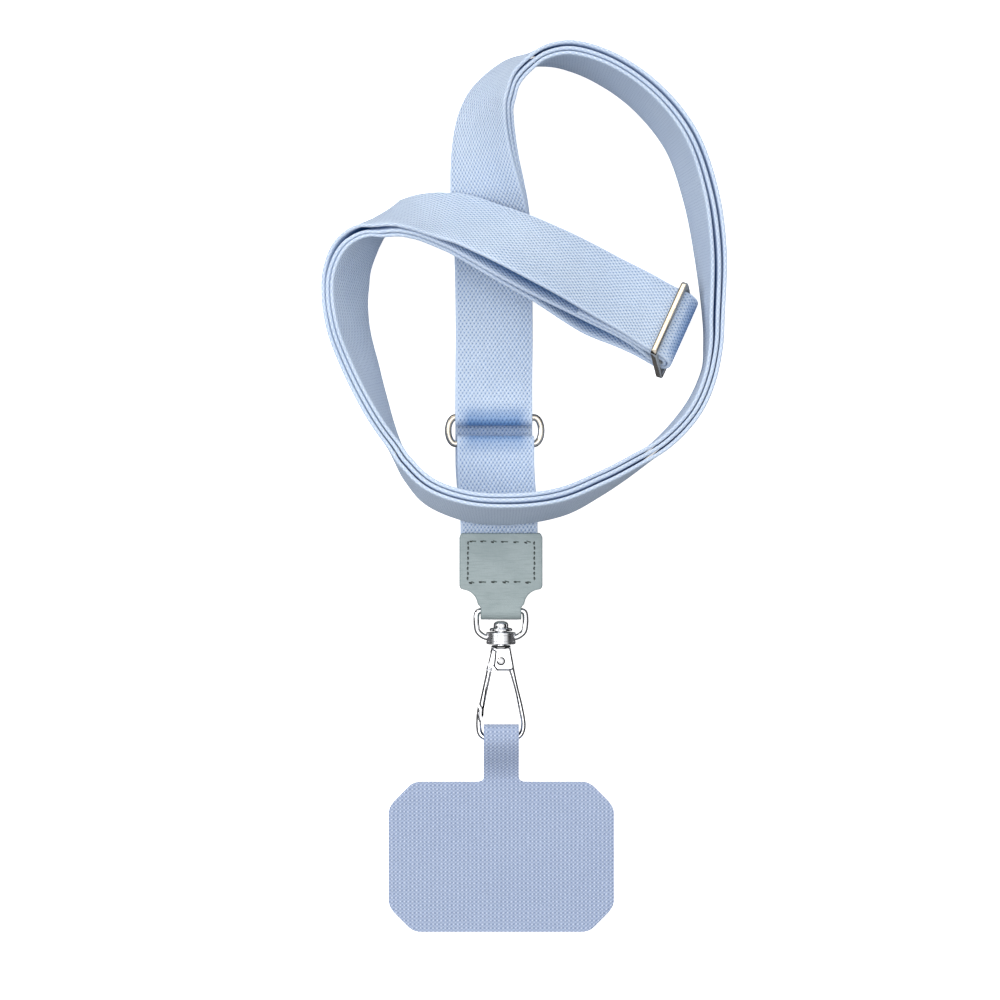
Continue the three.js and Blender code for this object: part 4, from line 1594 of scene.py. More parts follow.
@dataclass
class LeatherTab:
    """Leather folded round the eye's bar, with its painted edge and its sewn rectangle."""

    finishes: Finishes
    columns: int = 16
    rim: float = 0.26
    seam_width: float = 17.5
    seam_low_y: float = 73.4
    seam_high_y: float = 84.1
    dash_pitch: float = 2.85
    dot_pitch: float = 1.4
    thread: float = 0.24

    @property
    def shoulder_y(self) -> float:
        """Where the tab's shoulders reach its full width."""
        return SIZES.eye_bar_y + SIZES.neck_length + 0.6

    @property
    def front_z(self) -> float:
        """Middle of the front leather."""
        s = SIZES
        webbings = s.tab_back_z + 2 * s.layer_pitch + s.webbing_thickness / 2
        return webbings + s.piece_gap + s.leather_thickness / 2

    def half_width(self, y: float) -> float:
        """Half of the tab's width at one place along it.

        Args:
            y: The place in millimetres.

        Returns:
            Half of the width.
        """
        s = SIZES
        side, neck = s.leather_width / 2, s.neck_width / 2
        slim = s.eye_width / 2 - s.eye_wire - s.piece_gap
        start = s.eye_bar_y + s.eye_wire / 2 + s.piece_gap
        r = side - neck - 0.6
        if y <= start:
            return slim
        if y <= start + 0.9:
            return lerp(slim, neck, (y - start) / 0.9)
        centre_y = self.shoulder_y - r
        if y <= centre_y:
            return neck
        if y <= self.shoulder_y:
            return side - 0.6 - math.sqrt(max(r * r - (y - centre_y) ** 2, 0.0))
        if y <= self.shoulder_y + 1:
            return lerp(side - 0.6, side, math.sin(math.pi / 2 * (y - self.shoulder_y)))
        top = s.leather_top_y
        return side if y <= top - 1.0 else side - 0.55 * (y - top + 1.0)

    def centre_line(self) -> list[Flat]:
        """The folded leather seen from the side, from the front's upper edge to the back's."""
        s = SIZES
        half = s.leather_thickness / 2
        fold = s.eye_wire / 2 + s.piece_gap + half
        top, shoulder = s.leather_top_y, self.shoulder_y
        front = self.front_z
        knots = [
            (shoulder + 3.5, front),
            (shoulder + 1.2, front - 0.15 * (front - s.swivel_z - fold)),
            (shoulder - 3.2, s.swivel_z + fold + 0.1),
            *arc(s.eye_bar_y, s.swivel_z, fold, fold, 90, 270, 16),
            (shoulder - 3.2, s.swivel_z - fold - 0.1),
            (shoulder + 1.2, half + 0.15 * (s.swivel_z - fold - half)),
            (shoulder + 3.5, half),
        ]
        bent = [(float(p[0]), float(p[1])) for p in SmoothLine(knots).sampled(0.3)]
        flat = [lerp(top - 1.4, shoulder + 3.9, i / 8) for i in range(9)]
        ends = [top, top - 0.35, top - 0.7, top - 1.05, *flat]
        return [*[(y, front) for y in ends], *bent, *[(y, half) for y in reversed(ends)]]

    def shell(self) -> bpy.types.Object:
        """The leather itself: the side line pushed across, cut to its outline, thickened and rounded."""
        s = SIZES
        rows = self.centre_line()
        obj = Bench.drawn("leather_tab_hide", [(-1.0, y, z) for y, z in rows], filled=False)
        bpy.ops.object.mode_set(mode="EDIT")
        bpy.ops.mesh.select_mode(type="VERT")
        bpy.ops.mesh.select_all(action="SELECT")
        for _ in range(self.columns):
            bpy.ops.mesh.extrude_region_move(TRANSFORM_OT_translate={"value": (2.0 / self.columns * MM, 0, 0)})
        for y, z in rows:
            place = (y * MM, z * MM)
            Bench.pick(obj, "VERT", lambda p, at=place: math.hypot(p[1] - at[0], p[2] - at[1]) < 2e-6)
            bpy.ops.transform.resize(value=(self.half_width(y), 1, 1), center_override=(0, 0, 0))
        bpy.ops.mesh.select_all(action="SELECT")
        bpy.ops.transform.translate(value=(s.leather_x * MM, 0, 0))
        bpy.ops.mesh.normals_make_consistent(inside=False)
        bpy.ops.object.mode_set(mode="OBJECT")
        obj.data.materials.append(self.finishes.leather)
        obj.data.materials.append(self.finishes.leather_edge)
        Bench.apply(
            obj,
            "SOLIDIFY",
            thickness=s.leather_thickness * MM,
            offset=0.0,
            use_even_offset=True,
            material_offset_rim=1,
        )
        limit = math.radians(60)
        Bench.apply(
            obj, "BEVEL", width=self.rim * MM, segments=3, limit_method="ANGLE", angle_limit=limit, material=1
        )
        return Bench.smooth(obj, 45)

    def stitch_places(self) -> list[tuple[Point, float, float]]:
        """Middle, length and turn of every stitch on the front."""
        s = SIZES
        left, right = s.leather_x - self.seam_width / 2, s.leather_x + self.seam_width / 2
        found: list[tuple[Point, float, float]] = []
        across = round(self.seam_width / self.dash_pitch)
        down = round((self.seam_high_y - self.seam_low_y) / self.dot_pitch)
        for i in range(across):
            x = lerp(left, right, (i + 0.5) / across)
            for y in (self.seam_low_y, self.seam_high_y):
                middle = (x + 0.22 * math.sin(7.1 * i + y), y + 0.1 * math.sin(5.3 * i + y), 0.0)
                length = 1.7 + 0.3 * math.sin(3.7 * i + y)
                found.append((middle, length, -11 + 9 * math.sin(4.1 * i + y)))
        for i in range(down):
            y = lerp(self.seam_low_y, self.seam_high_y, (i + 0.5) / down)
            for x in (left, right):
                found.append(((x + 0.09 * math.sin(6.1 * i + x), y, 0.0), 0.7, 90.0 + 12 * math.sin(3.9 * i + x)))
        return found

    def stitch(self, name: str, place: Point, length: float, turn: float, sign: int) -> bpy.types.Object:
        """One stitch: a short round thread that dips at both ends.

        Args:
            name: The new object's name.
            place: Its middle in millimetres.
            length: Its length.
            turn: Its direction in degrees from X.
            sign: 1 on the front face and -1 on the back, whose stitches dip the other way.

        Returns:
            The stitch.
        """
        radius = self.thread
        Bench.clear()
        across = (0, math.pi / 2, 0)
        bpy.ops.mesh.primitive_cylinder_add(
            vertices=8, radius=radius * MM, depth=length * MM, location=(0, 0, 0), rotation=across
        )
        obj = Bench.named(name)
        bpy.ops.object.transform_apply(location=True, rotation=True, scale=True)
        bpy.ops.object.mode_set(mode="EDIT")
        half = length / 2 * MM
        for side in (-1, 1):
            Bench.pick(obj, "FACE", lambda p, at=side * half: abs(p[0] - at) < 1e-7)
            move = (side * radius * 0.7 * MM, 0, -sign * radius * 0.8 * MM)
            bpy.ops.mesh.extrude_region_move(TRANSFORM_OT_translate={"value": move})
            bpy.ops.transform.resize(value=(1, 0.45, 0.45))
        bpy.ops.mesh.select_all(action="SELECT")
        bpy.ops.transform.rotate(value=-math.radians(turn), orient_axis="Z", center_override=(0, 0, 0))
        bpy.ops.transform.translate(value=tuple(np.array(place) * MM))
        bpy.ops.mesh.normals_make_consistent(inside=False)
        bpy.ops.object.mode_set(mode="OBJECT")
        return obj

    def sewing(self) -> list[bpy.types.Object]:
        """The sewn rectangle on both faces: its threads and the painted shade of its needle holes."""
        half = SIZES.leather_thickness / 2
        made = []
        for face, level, sign in (("front", self.front_z + half, 1), ("back", 0.0, -1)):
            threads, hole_shades = [], []
            for i, ((x, y, _), length, turn) in enumerate(self.stitch_places()):
                z = level - sign * self.thread * 0.62
                threads.append(self.stitch(f"thread_{face}_{i}", (x, y, z), length * 0.6, turn, sign))
                across, along = math.cos(math.radians(turn)), -math.sin(math.radians(turn))
                reach = -length * 0.42
                place = (x + across * reach, y + along * reach, level - sign * 0.05)
                hole_shades.append(self.hole_shade(f"hole_{face}_{i}", place, turn))
            for name, parts, finish in (
                (f"stitches_{face}", threads, self.finishes.thread),
                (f"needle_hole_shades_{face}", hole_shades, self.finishes.hole_shade),
            ):
                piece = Bench.smooth(Bench.joined(name, parts), 60)
                made.append(settle(piece, Body.STRAP, finish=finish))
        return made

    def hole_shade(self, name: str, place: Point, turn: float) -> bpy.types.Object:
        """One needle hole's painted shade: a small dark pit, drawn out along the seam.

        Args:
            name: The new object's name.
            place: Its middle in millimetres.
            turn: Direction of the seam in degrees from X.

        Returns:
            The pit.
        """
        Bench.clear()
        bpy.ops.mesh.primitive_uv_sphere_add(segments=10, ring_count=6, radius=0.36 * MM, location=(0, 0, 0))
        obj = Bench.named(name)
        bpy.ops.object.mode_set(mode="EDIT")
        bpy.ops.mesh.select_all(action="SELECT")
        bpy.ops.transform.resize(value=(1.5, 0.8, 0.3), center_override=(0, 0, 0))
        bpy.ops.transform.rotate(value=-math.radians(turn), orient_axis="Z", center_override=(0, 0, 0))
        bpy.ops.transform.translate(value=tuple(np.array(place) * MM))
        bpy.ops.object.mode_set(mode="OBJECT")
        return obj

    def build(self) -> list[bpy.types.Object]:
        """Make the tab and its sewing.

        Returns:
            The pieces.
        """
        hide = settle(self.shell(), Body.STRAP, ["leather_tab"])
        return [hide, *self.sewing()]


# Metal


@dataclass
class OvalRing:
    """The flat oval ring between the two webbings."""

    finishes: Finishes
    end_steps: int = 28
    rounds: int = 6

    def build(self) -> bpy.types.Object:
        """Draw the ring and give it its wire.

        Returns:
            The piece.
        """
        s = SIZES
        half = (s.ring_width - s.ring_wire) / 2 - s.ring_end
        y = (s.ring_upper_y + s.ring_lower_y) / 2
        right = arc(s.ring_x + half, y, s.ring_end, s.ring_bars_apart / 2, -90, 90, self.end_steps)
        left = arc(s.ring_x - half, y, s.ring_end, s.ring_bars_apart / 2, 90, 270, self.end_steps)
        path = [(px, py, s.ring_z) for px, py in [*right, *left]]
        obj = Bench.smooth(Bench.wire("oval_ring_wire", path, s.ring_wire / 2, True, self.rounds), 50)
        obj.data.materials.append(self.finishes.nickel)
        return settle(obj, Body.STRAP, ["oval_ring"])


@dataclass
class Slider:
    """Three-bar slider with flat faces, chamfered corners and rounded rims."""

    finishes: Finishes
    corner: float = 2.9
    end_trim: float = 0.52
    foot_trim: float = 0.4
    rim: float = 0.42

    def build(self, course: LoopCourse) -> bpy.types.Object:
        """Cast the frame and set it in the webbing's fold.

        Args:
            course: The loop's course.

        Returns:
            The piece.
        """
        s = SIZES
        wide, bar = s.slider_width / 2, s.slider_wire
        long, inner = s.slider_length / 2 - self.end_trim, s.slider_length / 2 - bar
        Bench.clear()
        bpy.ops.mesh.primitive_grid_add(x_subdivisions=3, y_subdivisions=5, size=2 * MM, location=(0, 0, -bar / 2 * MM))
        obj = Bench.named("slider_frame")
        bpy.ops.object.transform_apply(location=True, rotation=True, scale=True)
        bpy.ops.object.mode_set(mode="EDIT")
        self._spread(obj, 0, [-long, -inner, inner, long])
        self._spread(obj, 1, [-wide, -wide + bar, -bar / 2, bar / 2, wide - bar, wide - self.foot_trim])
        for side in (-1, 1):
            low, high = sorted((side * (bar / 2), side * (wide - bar)))
            Bench.pick(
                obj,
                "FACE",
                lambda p, low=low, high=high: abs(p[0]) < (inner + 0.01) * MM
                and (low - 0.01) * MM < p[1] < (high + 0.01) * MM,
            )
            bpy.ops.mesh.delete(type="FACE")
        Bench.pick(obj, "VERT", lambda p: abs(abs(p[0]) - long * MM) < 1e-6 and abs(p[1]) > (wide - bar / 2) * MM)
        bpy.ops.mesh.bevel(offset=self.corner * MM, segments=4, affect="VERTICES")
        bpy.ops.mesh.select_all(action="SELECT")
        bpy.ops.mesh.extrude_region_move(TRANSFORM_OT_translate={"value": (0, 0, bar * MM)})
        bpy.ops.mesh.select_all(action="SELECT")
        bpy.ops.mesh.normals_make_consistent(inside=False)
        bpy.ops.object.mode_set(mode="OBJECT")
        Bench.apply(obj, "BEVEL", width=self.rim * MM, segments=3, limit_method="ANGLE", angle_limit=math.radians(40))
        self._place(obj, course)
        Bench.smooth(obj, 25)
        obj.data.materials.append(self.finishes.nickel)
        return settle(obj, Body.STRAP, ["slider"])

    @staticmethod
    def _spread(obj: bpy.types.Object, axis: int, places: Sequence[float]) -> None:
        """Move each line of the grid to its place.

        Args:
            obj: The grid in edit mode.
            axis: 0 for the lines across X, 1 for those across Y.
            places: Where the lines go, in millimetres.
        """
        mesh = bmesh.from_edit_mesh(obj.data)
        lines = sorted({round(v.co[axis], 7) for v in mesh.verts})
        for was, goes in sorted(zip(lines, places), key=lambda pair: -abs(pair[1])):
            Bench.pick(obj, "VERT", lambda p, was=was: abs(p[axis] - was) < 1e-6)
            move = [0.0, 0.0, 0.0]
            move[axis] = goes * MM - was
            bpy.ops.transform.translate(value=tuple(move))

    @staticmethod
    def _place(obj: bpy.types.Object, course: LoopCourse) -> None:
        """Put the frame's middle bar in the webbing's fold and apply its place."""
        s, at = SIZES, course.at_slider
        pitch = math.radians(s.slider_pitch)
        along = at.w
        over = at.t * math.cos(pitch) - at.front * math.sin(pitch)
        normal = np.cross(along, over)
        origin = at.p + along * s.slider_slide
        columns = (along, over, normal, origin * MM)
        rows = [[float(column[i]) for column in columns] for i in range(3)]
        Bench.take(obj)
        obj.matrix_world = [list(c) for c in zip(*[*rows, [0.0, 0.0, 0.0, 1.0]])]
        bpy.ops.object.transform_apply(location=True, rotation=True, scale=True)


@dataclass
class SwivelEye:
    """D-shaped eye with the swivel's barrel."""

    finishes: Finishes
    barrel_radius: float = 3.9
    reach: float = 5.6
    edge: float = 0.4

    def eye_line(self) -> list[np.ndarray]:
        """Centre line of the eye's wire, in millimetres."""
        s = SIZES
        side = (s.eye_width - s.eye_wire) / 2
        rows = [(0.42, -0.1), (0.7, -0.04), (0.94, 0.16), (1, 0.4), (1, 0.84), (0.96, 0.95), (0.86, 1)]
        knots = [(-a, b) for a, b in rows] + rows[::-1]
        up = [s.barrel_top_y + b * self.reach - 0.9 * (1 - b) for _, b in knots]
        points = [(s.hook_x + a * side, y, s.swivel_z) for (a, _), y in zip(knots, up)]
        return SmoothLine(points).sampled(0.45)

    def build(self) -> bpy.types.Object:
        """Bend the wire, turn the barrel and join them.

        Returns:
            The piece.
        """
        s = SIZES
        wire = Bench.wire("eye_wire", self.eye_line(), s.eye_wire / 2, False, 6)
        wire.data.materials.append(self.finishes.chrome)
        low, high, r, e = s.barrel_bottom_y, s.barrel_top_y, self.barrel_radius, self.edge
        bore = 1.8
        rim = [(r - e, low), (r - e * 0.3, low + e * 0.12), (r, low + e * 0.45)]
        rim += [(r, low + 0.75), (r - 0.12, low + 0.85)]
        upper = [(radius, low + high - y) for radius, y in reversed(rim)]
        rows = [(bore, low), *rim, *upper, (bore, high), (bore, low)]
        barrel = Bench.spun("eye_barrel", rows, (s.hook_x, 0.0, s.swivel_z), "Y", 56)
        barrel.data.materials.append(self.finishes.satin)
        obj = Bench.smooth(Bench.joined("swivel_eye_cast", [wire, barrel]), 32)
        return settle(obj, Body.EYE, ["swivel_eye"])


class HookOutlines:
    """The hook's outlines, across in shares of its spread and down in shares of its length."""

    OUTER: tuple[Flat, ...] = (
        (0.19, 0.0), (0.2, 0.04), (0.262, 0.21), (0.343, 0.41), (0.435, 0.605), (0.485, 0.74), (0.5, 0.83),
        (0.468, 0.905), (0.385, 0.96), (0.185, 0.99), (0.0, 1.0),
        (-0.185, 0.993), (-0.4, 0.96), (-0.476, 0.91),
        (-0.5, 0.84), (-0.495, 0.72), (-0.47, 0.625),
    )  # fmt: skip
    NOSE: tuple[Flat, ...] = ((-0.42, 0.672), (-0.42, 0.755), (-0.395, 0.785))
    INNER: tuple[Flat, ...] = (
        (-0.395, 0.84), (-0.378, 0.888), (-0.33, 0.918), (-0.2, 0.938),
        (0.0, 0.942), (0.2, 0.938), (0.33, 0.918),
        (0.385, 0.88), (0.402, 0.82), (0.398, 0.77), (0.36, 0.67),
        (0.29, 0.485), (0.2, 0.31), (0.16, 0.247),
    )  # fmt: skip
    SHOULDER: tuple[Flat, ...] = ((-0.075, 0.247), (-0.15, 0.207), (-0.273, 0.176), (-0.2, 0.02), (-0.19, 0.0))
    HEAD: tuple[Flat, ...] = (
        (0.19, 0.0), (0.265, 0.215), (0.23, 0.24), (0.16, 0.247),
        (-0.075, 0.247), (-0.148, 0.205), (-0.118, 0.05),
        (-0.19, 0.03), (-0.19, 0.0),
    )  # fmt: skip
    SLOT: tuple[Flat, ...] = (
        (0.1, 0.4), (0.02, 0.3), (0.15, 0.235), (0.175, 0.147), (0.12, 0.085), (0.0, 0.055), (-0.1, 0.06),
        (-0.5, 0.06), (-0.6, 0.4),
    )  # fmt: skip
    GATE: tuple[Flat, ...] = (
        (-0.03, 0.225), (-0.1, 0.25), (-0.19, 0.27), (-0.271, 0.462),
        (-0.342, 0.65), (-0.352, 0.74), (-0.392, 0.74),
        (-0.392, 0.655), (-0.44, 0.6), (-0.31, 0.29), (-0.28, 0.21), (-0.23, 0.12), (-0.06, 0.075),
    )  # fmt: skip
    ROD: tuple[Flat, ...] = (
        (-0.19, 0.25), (-0.271, 0.462), (-0.342, 0.65), (-0.352, 0.74), (-0.392, 0.74), (-0.392, 0.655),
        (-0.44, 0.6), (-0.31, 0.29), (-0.286, 0.225),
    )  # fmt: skip
    COLLAR: tuple[Flat, ...] = ((-0.178, 0.216), (-0.186, 0.257), (-0.297, 0.232), (-0.277, 0.19))

    @staticmethod
    def placed(rows: Sequence[Flat]) -> list[Flat]:
        """Rows in millimetres."""
        s = SIZES
        return [(s.hook_x + across * s.hook_spread, s.hook_top_y - down * s.hook_length) for across, down in rows]

    @staticmethod
    def curved(rows: Sequence[Flat], step: float = 0.45) -> list[Flat]:
        """Rows in millimetres with smooth curves between them."""
        return [(float(p[0]), float(p[1])) for p in SmoothLine(HookOutlines.placed(rows)).sampled(step)]


@dataclass
class SnapHook:
    """The hook: swivel post, head with its slot for the gate, arm, bow and nose."""

    finishes: Finishes
    depth: float = 2.2
    head_depth: float = 3.6
    arm_round: float = 0.5
    head_round: float = 0.45
    gate_depth: float = 1.2
    slot_gap: float = 0.2
    post_radius: float = 1.5
    neck_radius: float = 2.45

    def slot_tool(self, name: str) -> bpy.types.Object:
        """Shape of the gate's slot."""
        deep = self.gate_depth + 2 * self.slot_gap
        outline = HookOutlines.placed(HookOutlines.SLOT)
        return Bench.plate(name, outline, SIZES.swivel_z - deep / 2, deep, 0, 1)

    def bore_tool(self, name: str) -> bpy.types.Object:
        """Shape of the rivet's bore."""
        s = SIZES
        Bench.clear()
        bpy.ops.mesh.primitive_cylinder_add(
            vertices=32, radius=0.9 * MM, depth=8 * MM, location=(s.hook_x * MM, s.rivet_y * MM, s.swivel_z * MM)
        )
        obj = Bench.named(name)
        bpy.ops.object.transform_apply(location=True, rotation=True, scale=True)
        return obj

    def loop(self) -> bpy.types.Object:
        """Arm, bow and nose with rounded rims."""
        o = HookOutlines
        outline = [*o.curved(o.OUTER), *o.placed(o.NOSE), *o.curved(o.INNER), *o.placed(o.SHOULDER)]
        z = SIZES.swivel_z - self.depth / 2
        return Bench.plate("hook_loop", outline, z, self.depth, self.arm_round, 4, 0.3)

    def head(self) -> bpy.types.Object:
        """The deeper head with its two cheeks."""
        o = HookOutlines
        z = SIZES.swivel_z - self.head_depth / 2
        return Bench.plate("hook_head", o.placed(o.HEAD), z, self.head_depth, self.head_round, 4, 0.3)

    def post(self) -> bpy.types.Object:
        """Neck, post, flange and domed button, turned in one."""
        s = SIZES
        flange = s.barrel_top_y + s.piece_gap
        top, neck, post = s.hook_top_y, self.neck_radius, self.post_radius
        rows = [
            (0.0, top - 0.6),
            (neck - 0.35, top - 0.6),
            (neck - 0.1, top - 0.45),
            (neck, top - 0.25),
            (neck, s.barrel_bottom_y - s.piece_gap - 0.12),
            (neck - 0.12, s.barrel_bottom_y - s.piece_gap),
            (post, s.barrel_bottom_y - s.piece_gap),
            (post, flange),
            (2.8, flange),
            (3.0, flange + 0.12),
            (3.05, flange + 0.3),
            (3.0, flange + 0.55),
            (2.8, flange + 0.75),
            (2.1, flange + 0.85),
            (1.9, flange + 1.0),
            (1.95, flange + 1.2),
            (1.95, flange + 1.7),
            (1.8, flange + 2.1),
            (1.45, flange + 2.4),
            (0.8, flange + 2.6),
            (0.0, flange + 2.65),
        ]
        return Bench.spun("hook_post", rows, (s.hook_x, 0.0, s.swivel_z), "Y", 48)

    def build(self) -> list[bpy.types.Object]:
        """Make the hook's parts, cut the slot and bore, and join them.

        Returns:
            The hook and the dark band of painted shadow round its neck.
        """
        parts = []
        for i, part in enumerate((self.loop(), self.head())):
            Bench.cut(part, self.slot_tool(f"slot_tool_{i}"))
            Bench.cut(part, self.bore_tool(f"bore_tool_{i}"))
            parts.append(part)
        obj = Bench.smooth(Bench.joined("snap_hook_cast", [*parts, self.post()]), 34)
        obj.data.materials.append(self.finishes.chrome)
        return [settle(obj, Body.HOOK, ["snap_hook"]), self.shadow_band()]

    def shadow_band(self) -> bpy.types.Object:
        """Painted shadow between the barrel and the head: a dark band round the neck."""
        s, r = SIZES, self.neck_radius + 0.1
        low, high = s.hook_top_y - 0.12, s.barrel_bottom_y - s.piece_gap - 0.06
        rows = [(1.9, low), (r - 0.1, low), (r, low + 0.1), (r, high - 0.1), (r - 0.1, high), (1.9, high), (1.9, low)]
        obj = Bench.smooth(Bench.spun("neck_shadow_band", rows, (s.hook_x, 0.0, s.swivel_z), "Y", 48), 40)
        obj.data.materials.append(self.finishes.recess_shadow)
        return settle(obj, Body.HOOK)


@dataclass
class HookGate:
    """The sprung gate: thin plate in the head's slot, collar and rod."""

    finishes: Finishes
    depth: float = 1.2
    rod_depth: float = 2.2
    boss_radius: float = 1.75

    def build(self) -> bpy.types.Object:
        """Make the gate.

        Returns:
            The piece.
        """
        o, s = HookOutlines, SIZES
        z = s.swivel_z
        plate = Bench.plate("gate_plate", o.placed(o.GATE), z - self.depth / 2, self.depth, 0.12, 2)
        rod = Bench.plate("gate_rod", o.placed(o.ROD), z - self.rod_depth / 2, self.rod_depth, 0.5, 4, 0.3)
        collar = Bench.plate("gate_collar", o.placed(o.COLLAR), z - 1.25, 2.5, 0.38, 4, 0.3)
        low, high, outer = z - self.depth / 2, z + self.depth / 2, self.boss_radius
        boss = [(0.9, low), (outer, low), (outer, high), (0.9, high), (0.9, low)]
        round_boss = Bench.spun("gate_boss", boss, (s.hook_x, s.rivet_y, 0.0), "Z", 40)
        hook = SnapHook(self.finishes)
        Bench.cut(plate, hook.bore_tool("gate_bore_tool"))
        obj = Bench.smooth(Bench.joined("hook_gate_cast", [plate, rod, collar, round_boss]), 32)
        obj.data.materials.append(self.finishes.chrome)
        return settle(obj, Body.GATE, ["hook_gate"])


@dataclass
class GateRivet:
    """The gate's pivot with a domed head on both sides."""

    finishes: Finishes
    radius: float = 0.75
    head_radius: float = 1.15
    head_depth: float = 3.6

    def build(self) -> bpy.types.Object:
        """Turn the rivet.

        Returns:
            The piece.
        """
        s = SIZES
        reach, head, z = self.head_depth / 2 + 0.1, self.head_radius, s.swivel_z
        dome = [(head, 0.0), (head, 0.04), (0.9, 0.23), (0.6, 0.38), (0.3, 0.46), (0.0, 0.49)]
        upper = [(self.radius, reach), *[(r, reach + up) for r, up in dome]]
        rows = [(r, z - up) for r, up in reversed(upper)] + [(r, z + up) for r, up in upper]
        obj = Bench.smooth(Bench.spun("gate_rivet_pin", rows, (s.hook_x, s.rivet_y, 0.0), "Z", 40), 40)
        obj.data.materials.append(self.finishes.chrome)
        return settle(obj, Body.HOOK, ["gate_rivet"])


# Phone patch


@dataclass
class PhonePatch:
    """Woven patch with its tab, one sheet that rises over the hook's bow and folds back behind it."""

    finishes: Finishes
    width: float = 60.0
    length: float = 40.0
    thickness: float = 1.0
    chamfer: float = 6.6
    tab_width: float = 9.3
    foot_round: float = 1.3
    side_columns: int = 12
    tab_columns: int = 10
    rim: float = 0.36

    def half_width(self, y: float) -> float:
        """Half of the plate's width at one place along it."""
        full, start = self.width / 2, self.length / 2 - self.chamfer
        over = abs(y) - start
        if over <= -1.8:
            return full
        if over <= 1.8:
            return full - (over + 1.8) ** 2 / 7.2
        if over <= self.chamfer - 1.4:
            return full - over
        near = math.sqrt(max(self.chamfer - over, 0.0) / 1.4)
        at = full - self.chamfer
        return near**2 * (at + 1.4) + 2 * near * (1 - near) * at + (1 - near) ** 2 * (at - 2.0)

    def tab_half_width(self, y: float) -> float:
        """Half of the tab's width at one place above the plate's edge."""
        half, r = self.tab_width / 2, self.foot_round
        up = y - self.length / 2
        if up >= r:
            return half
        return half + r - math.sqrt(max(r * r - (r - up) ** 2, 0.0))

    def plate_rows(self) -> list[float]:
        """Places along Y of the plate's rows."""
        edge = self.length / 2
        start = edge - self.chamfer
        ends = [0.0, 0.05, 0.17, 0.36, 0.62, 0.95, 1.3]
        top = [edge - e for e in ends] + [lerp(edge - 1.6, start - 1.4, i / 10) for i in range(11)]
        inner = [lerp(start - 1.6, -(start - 1.6), i / 18) for i in range(19)]
        return sorted({round(y, 5) for y in [*top, *inner, *[-y for y in top]]})

    def tab_line(self) -> list[Flat]:
        """Centre line of the tab from the side: along and up, from the plate's edge."""
        s = SIZES
        edge, half = self.length / 2, self.thickness / 2
        clear = 1.1 + s.piece_gap + half
        level, turn_y = s.swivel_z, s.bow_y + 1.65
        knots = [
            (edge, half),
            (edge + 1.2, half + 0.02),
            (edge + 3.2, half + 0.65),
            (edge + 5.2, half + 1.75),
            (edge + 7.4, level + clear - 1.95),
            (edge + 9.2, level + clear - 0.8),
            (s.bow_y - 0.4, level + clear),
            *arc(turn_y, level, clear, clear, 90, -90, 10),
            (s.bow_y - 0.6, level - clear + 0.05),
            (edge + 9.2, level - clear + 0.35),
            (edge + 8.2, level - clear + 0.95),
            (edge + 7.9, level - 0.95),
        ]
        return [(float(p[0]), float(p[1])) for p in SmoothLine(knots).sampled(0.35)]

    def build(self) -> bpy.types.Object:
        """Lay out the sheet and give it its thickness.

        Returns:
            The piece.
        """
        foot = self.tab_half_width(self.length / 2)
        half = self.thickness / 2
        places: list[Point] = []
        maps: list[Flat] = []
        faces: list[tuple[int, ...]] = []
        rows: list[list[int]] = []
        for y in self.plate_rows():
            wide = self.half_width(y)
            shares = [((i + 1) / self.side_columns) ** 0.9 for i in range(self.side_columns)]
            outer = [lerp(foot, wide, share) for share in shares]
            middle = [lerp(-foot, foot, i / self.tab_columns) for i in range(self.tab_columns + 1)]
            xs = [-x for x in reversed(outer)] + middle + outer
            rows.append(list(range(len(places), len(places) + len(xs))))
            places += [(x * MM, y * MM, half * MM) for x in xs]
            maps += [(x, y) for x in xs]
        for low, high in zip(rows, rows[1:]):
            faces += [(low[i], low[i + 1], high[i + 1], high[i]) for i in range(len(low) - 1)]
        before = rows[-1][self.side_columns : self.side_columns + self.tab_columns + 1]
        line = self.tab_line()
        travelled, still_foot = 0.0, True
        for (y0, z0), (y1, z1) in zip(line, line[1:]):
            travelled += math.dist((y0, z0), (y1, z1))
            still_foot = still_foot and y1 < self.length / 2 + self.foot_round
            wide = self.tab_half_width(self.length / 2 + travelled) if still_foot else self.tab_width / 2
            xs = [lerp(-wide, wide, i / self.tab_columns) for i in range(self.tab_columns + 1)]
            now = list(range(len(places), len(places) + len(xs)))
            places += [(x * MM, y1 * MM, z1 * MM) for x in xs]
            maps += [(x, self.length / 2 + travelled) for x in xs]
            faces += [(before[i], before[i + 1], now[i + 1], now[i]) for i in range(self.tab_columns)]
            before = now
        mesh = bpy.data.meshes.new("phone_patch_cloth")
        mesh.from_pydata(places, [], faces)
        layer = mesh.uv_layers.new(name="weave")
        for loop in mesh.loops:
            u, v = maps[loop.vertex_index]
            layer.data[loop.index].uv = (u / MM_PER_UV, v / MM_PER_UV)
        mesh.validate()
        obj = linked("phone_patch_cloth", mesh)
        mesh.materials.append(self.finishes.patch)
        Bench.apply(obj, "SOLIDIFY", thickness=self.thickness * MM, offset=0.0, use_even_offset=True)
        Bench.apply(obj, "BEVEL", width=self.rim * MM, segments=3, limit_method="ANGLE", angle_limit=math.radians(60))
        Bench.smooth(obj, 50)
        settle(obj, Body.HOOK, ["phone_patch"])
        return obj


# Studio


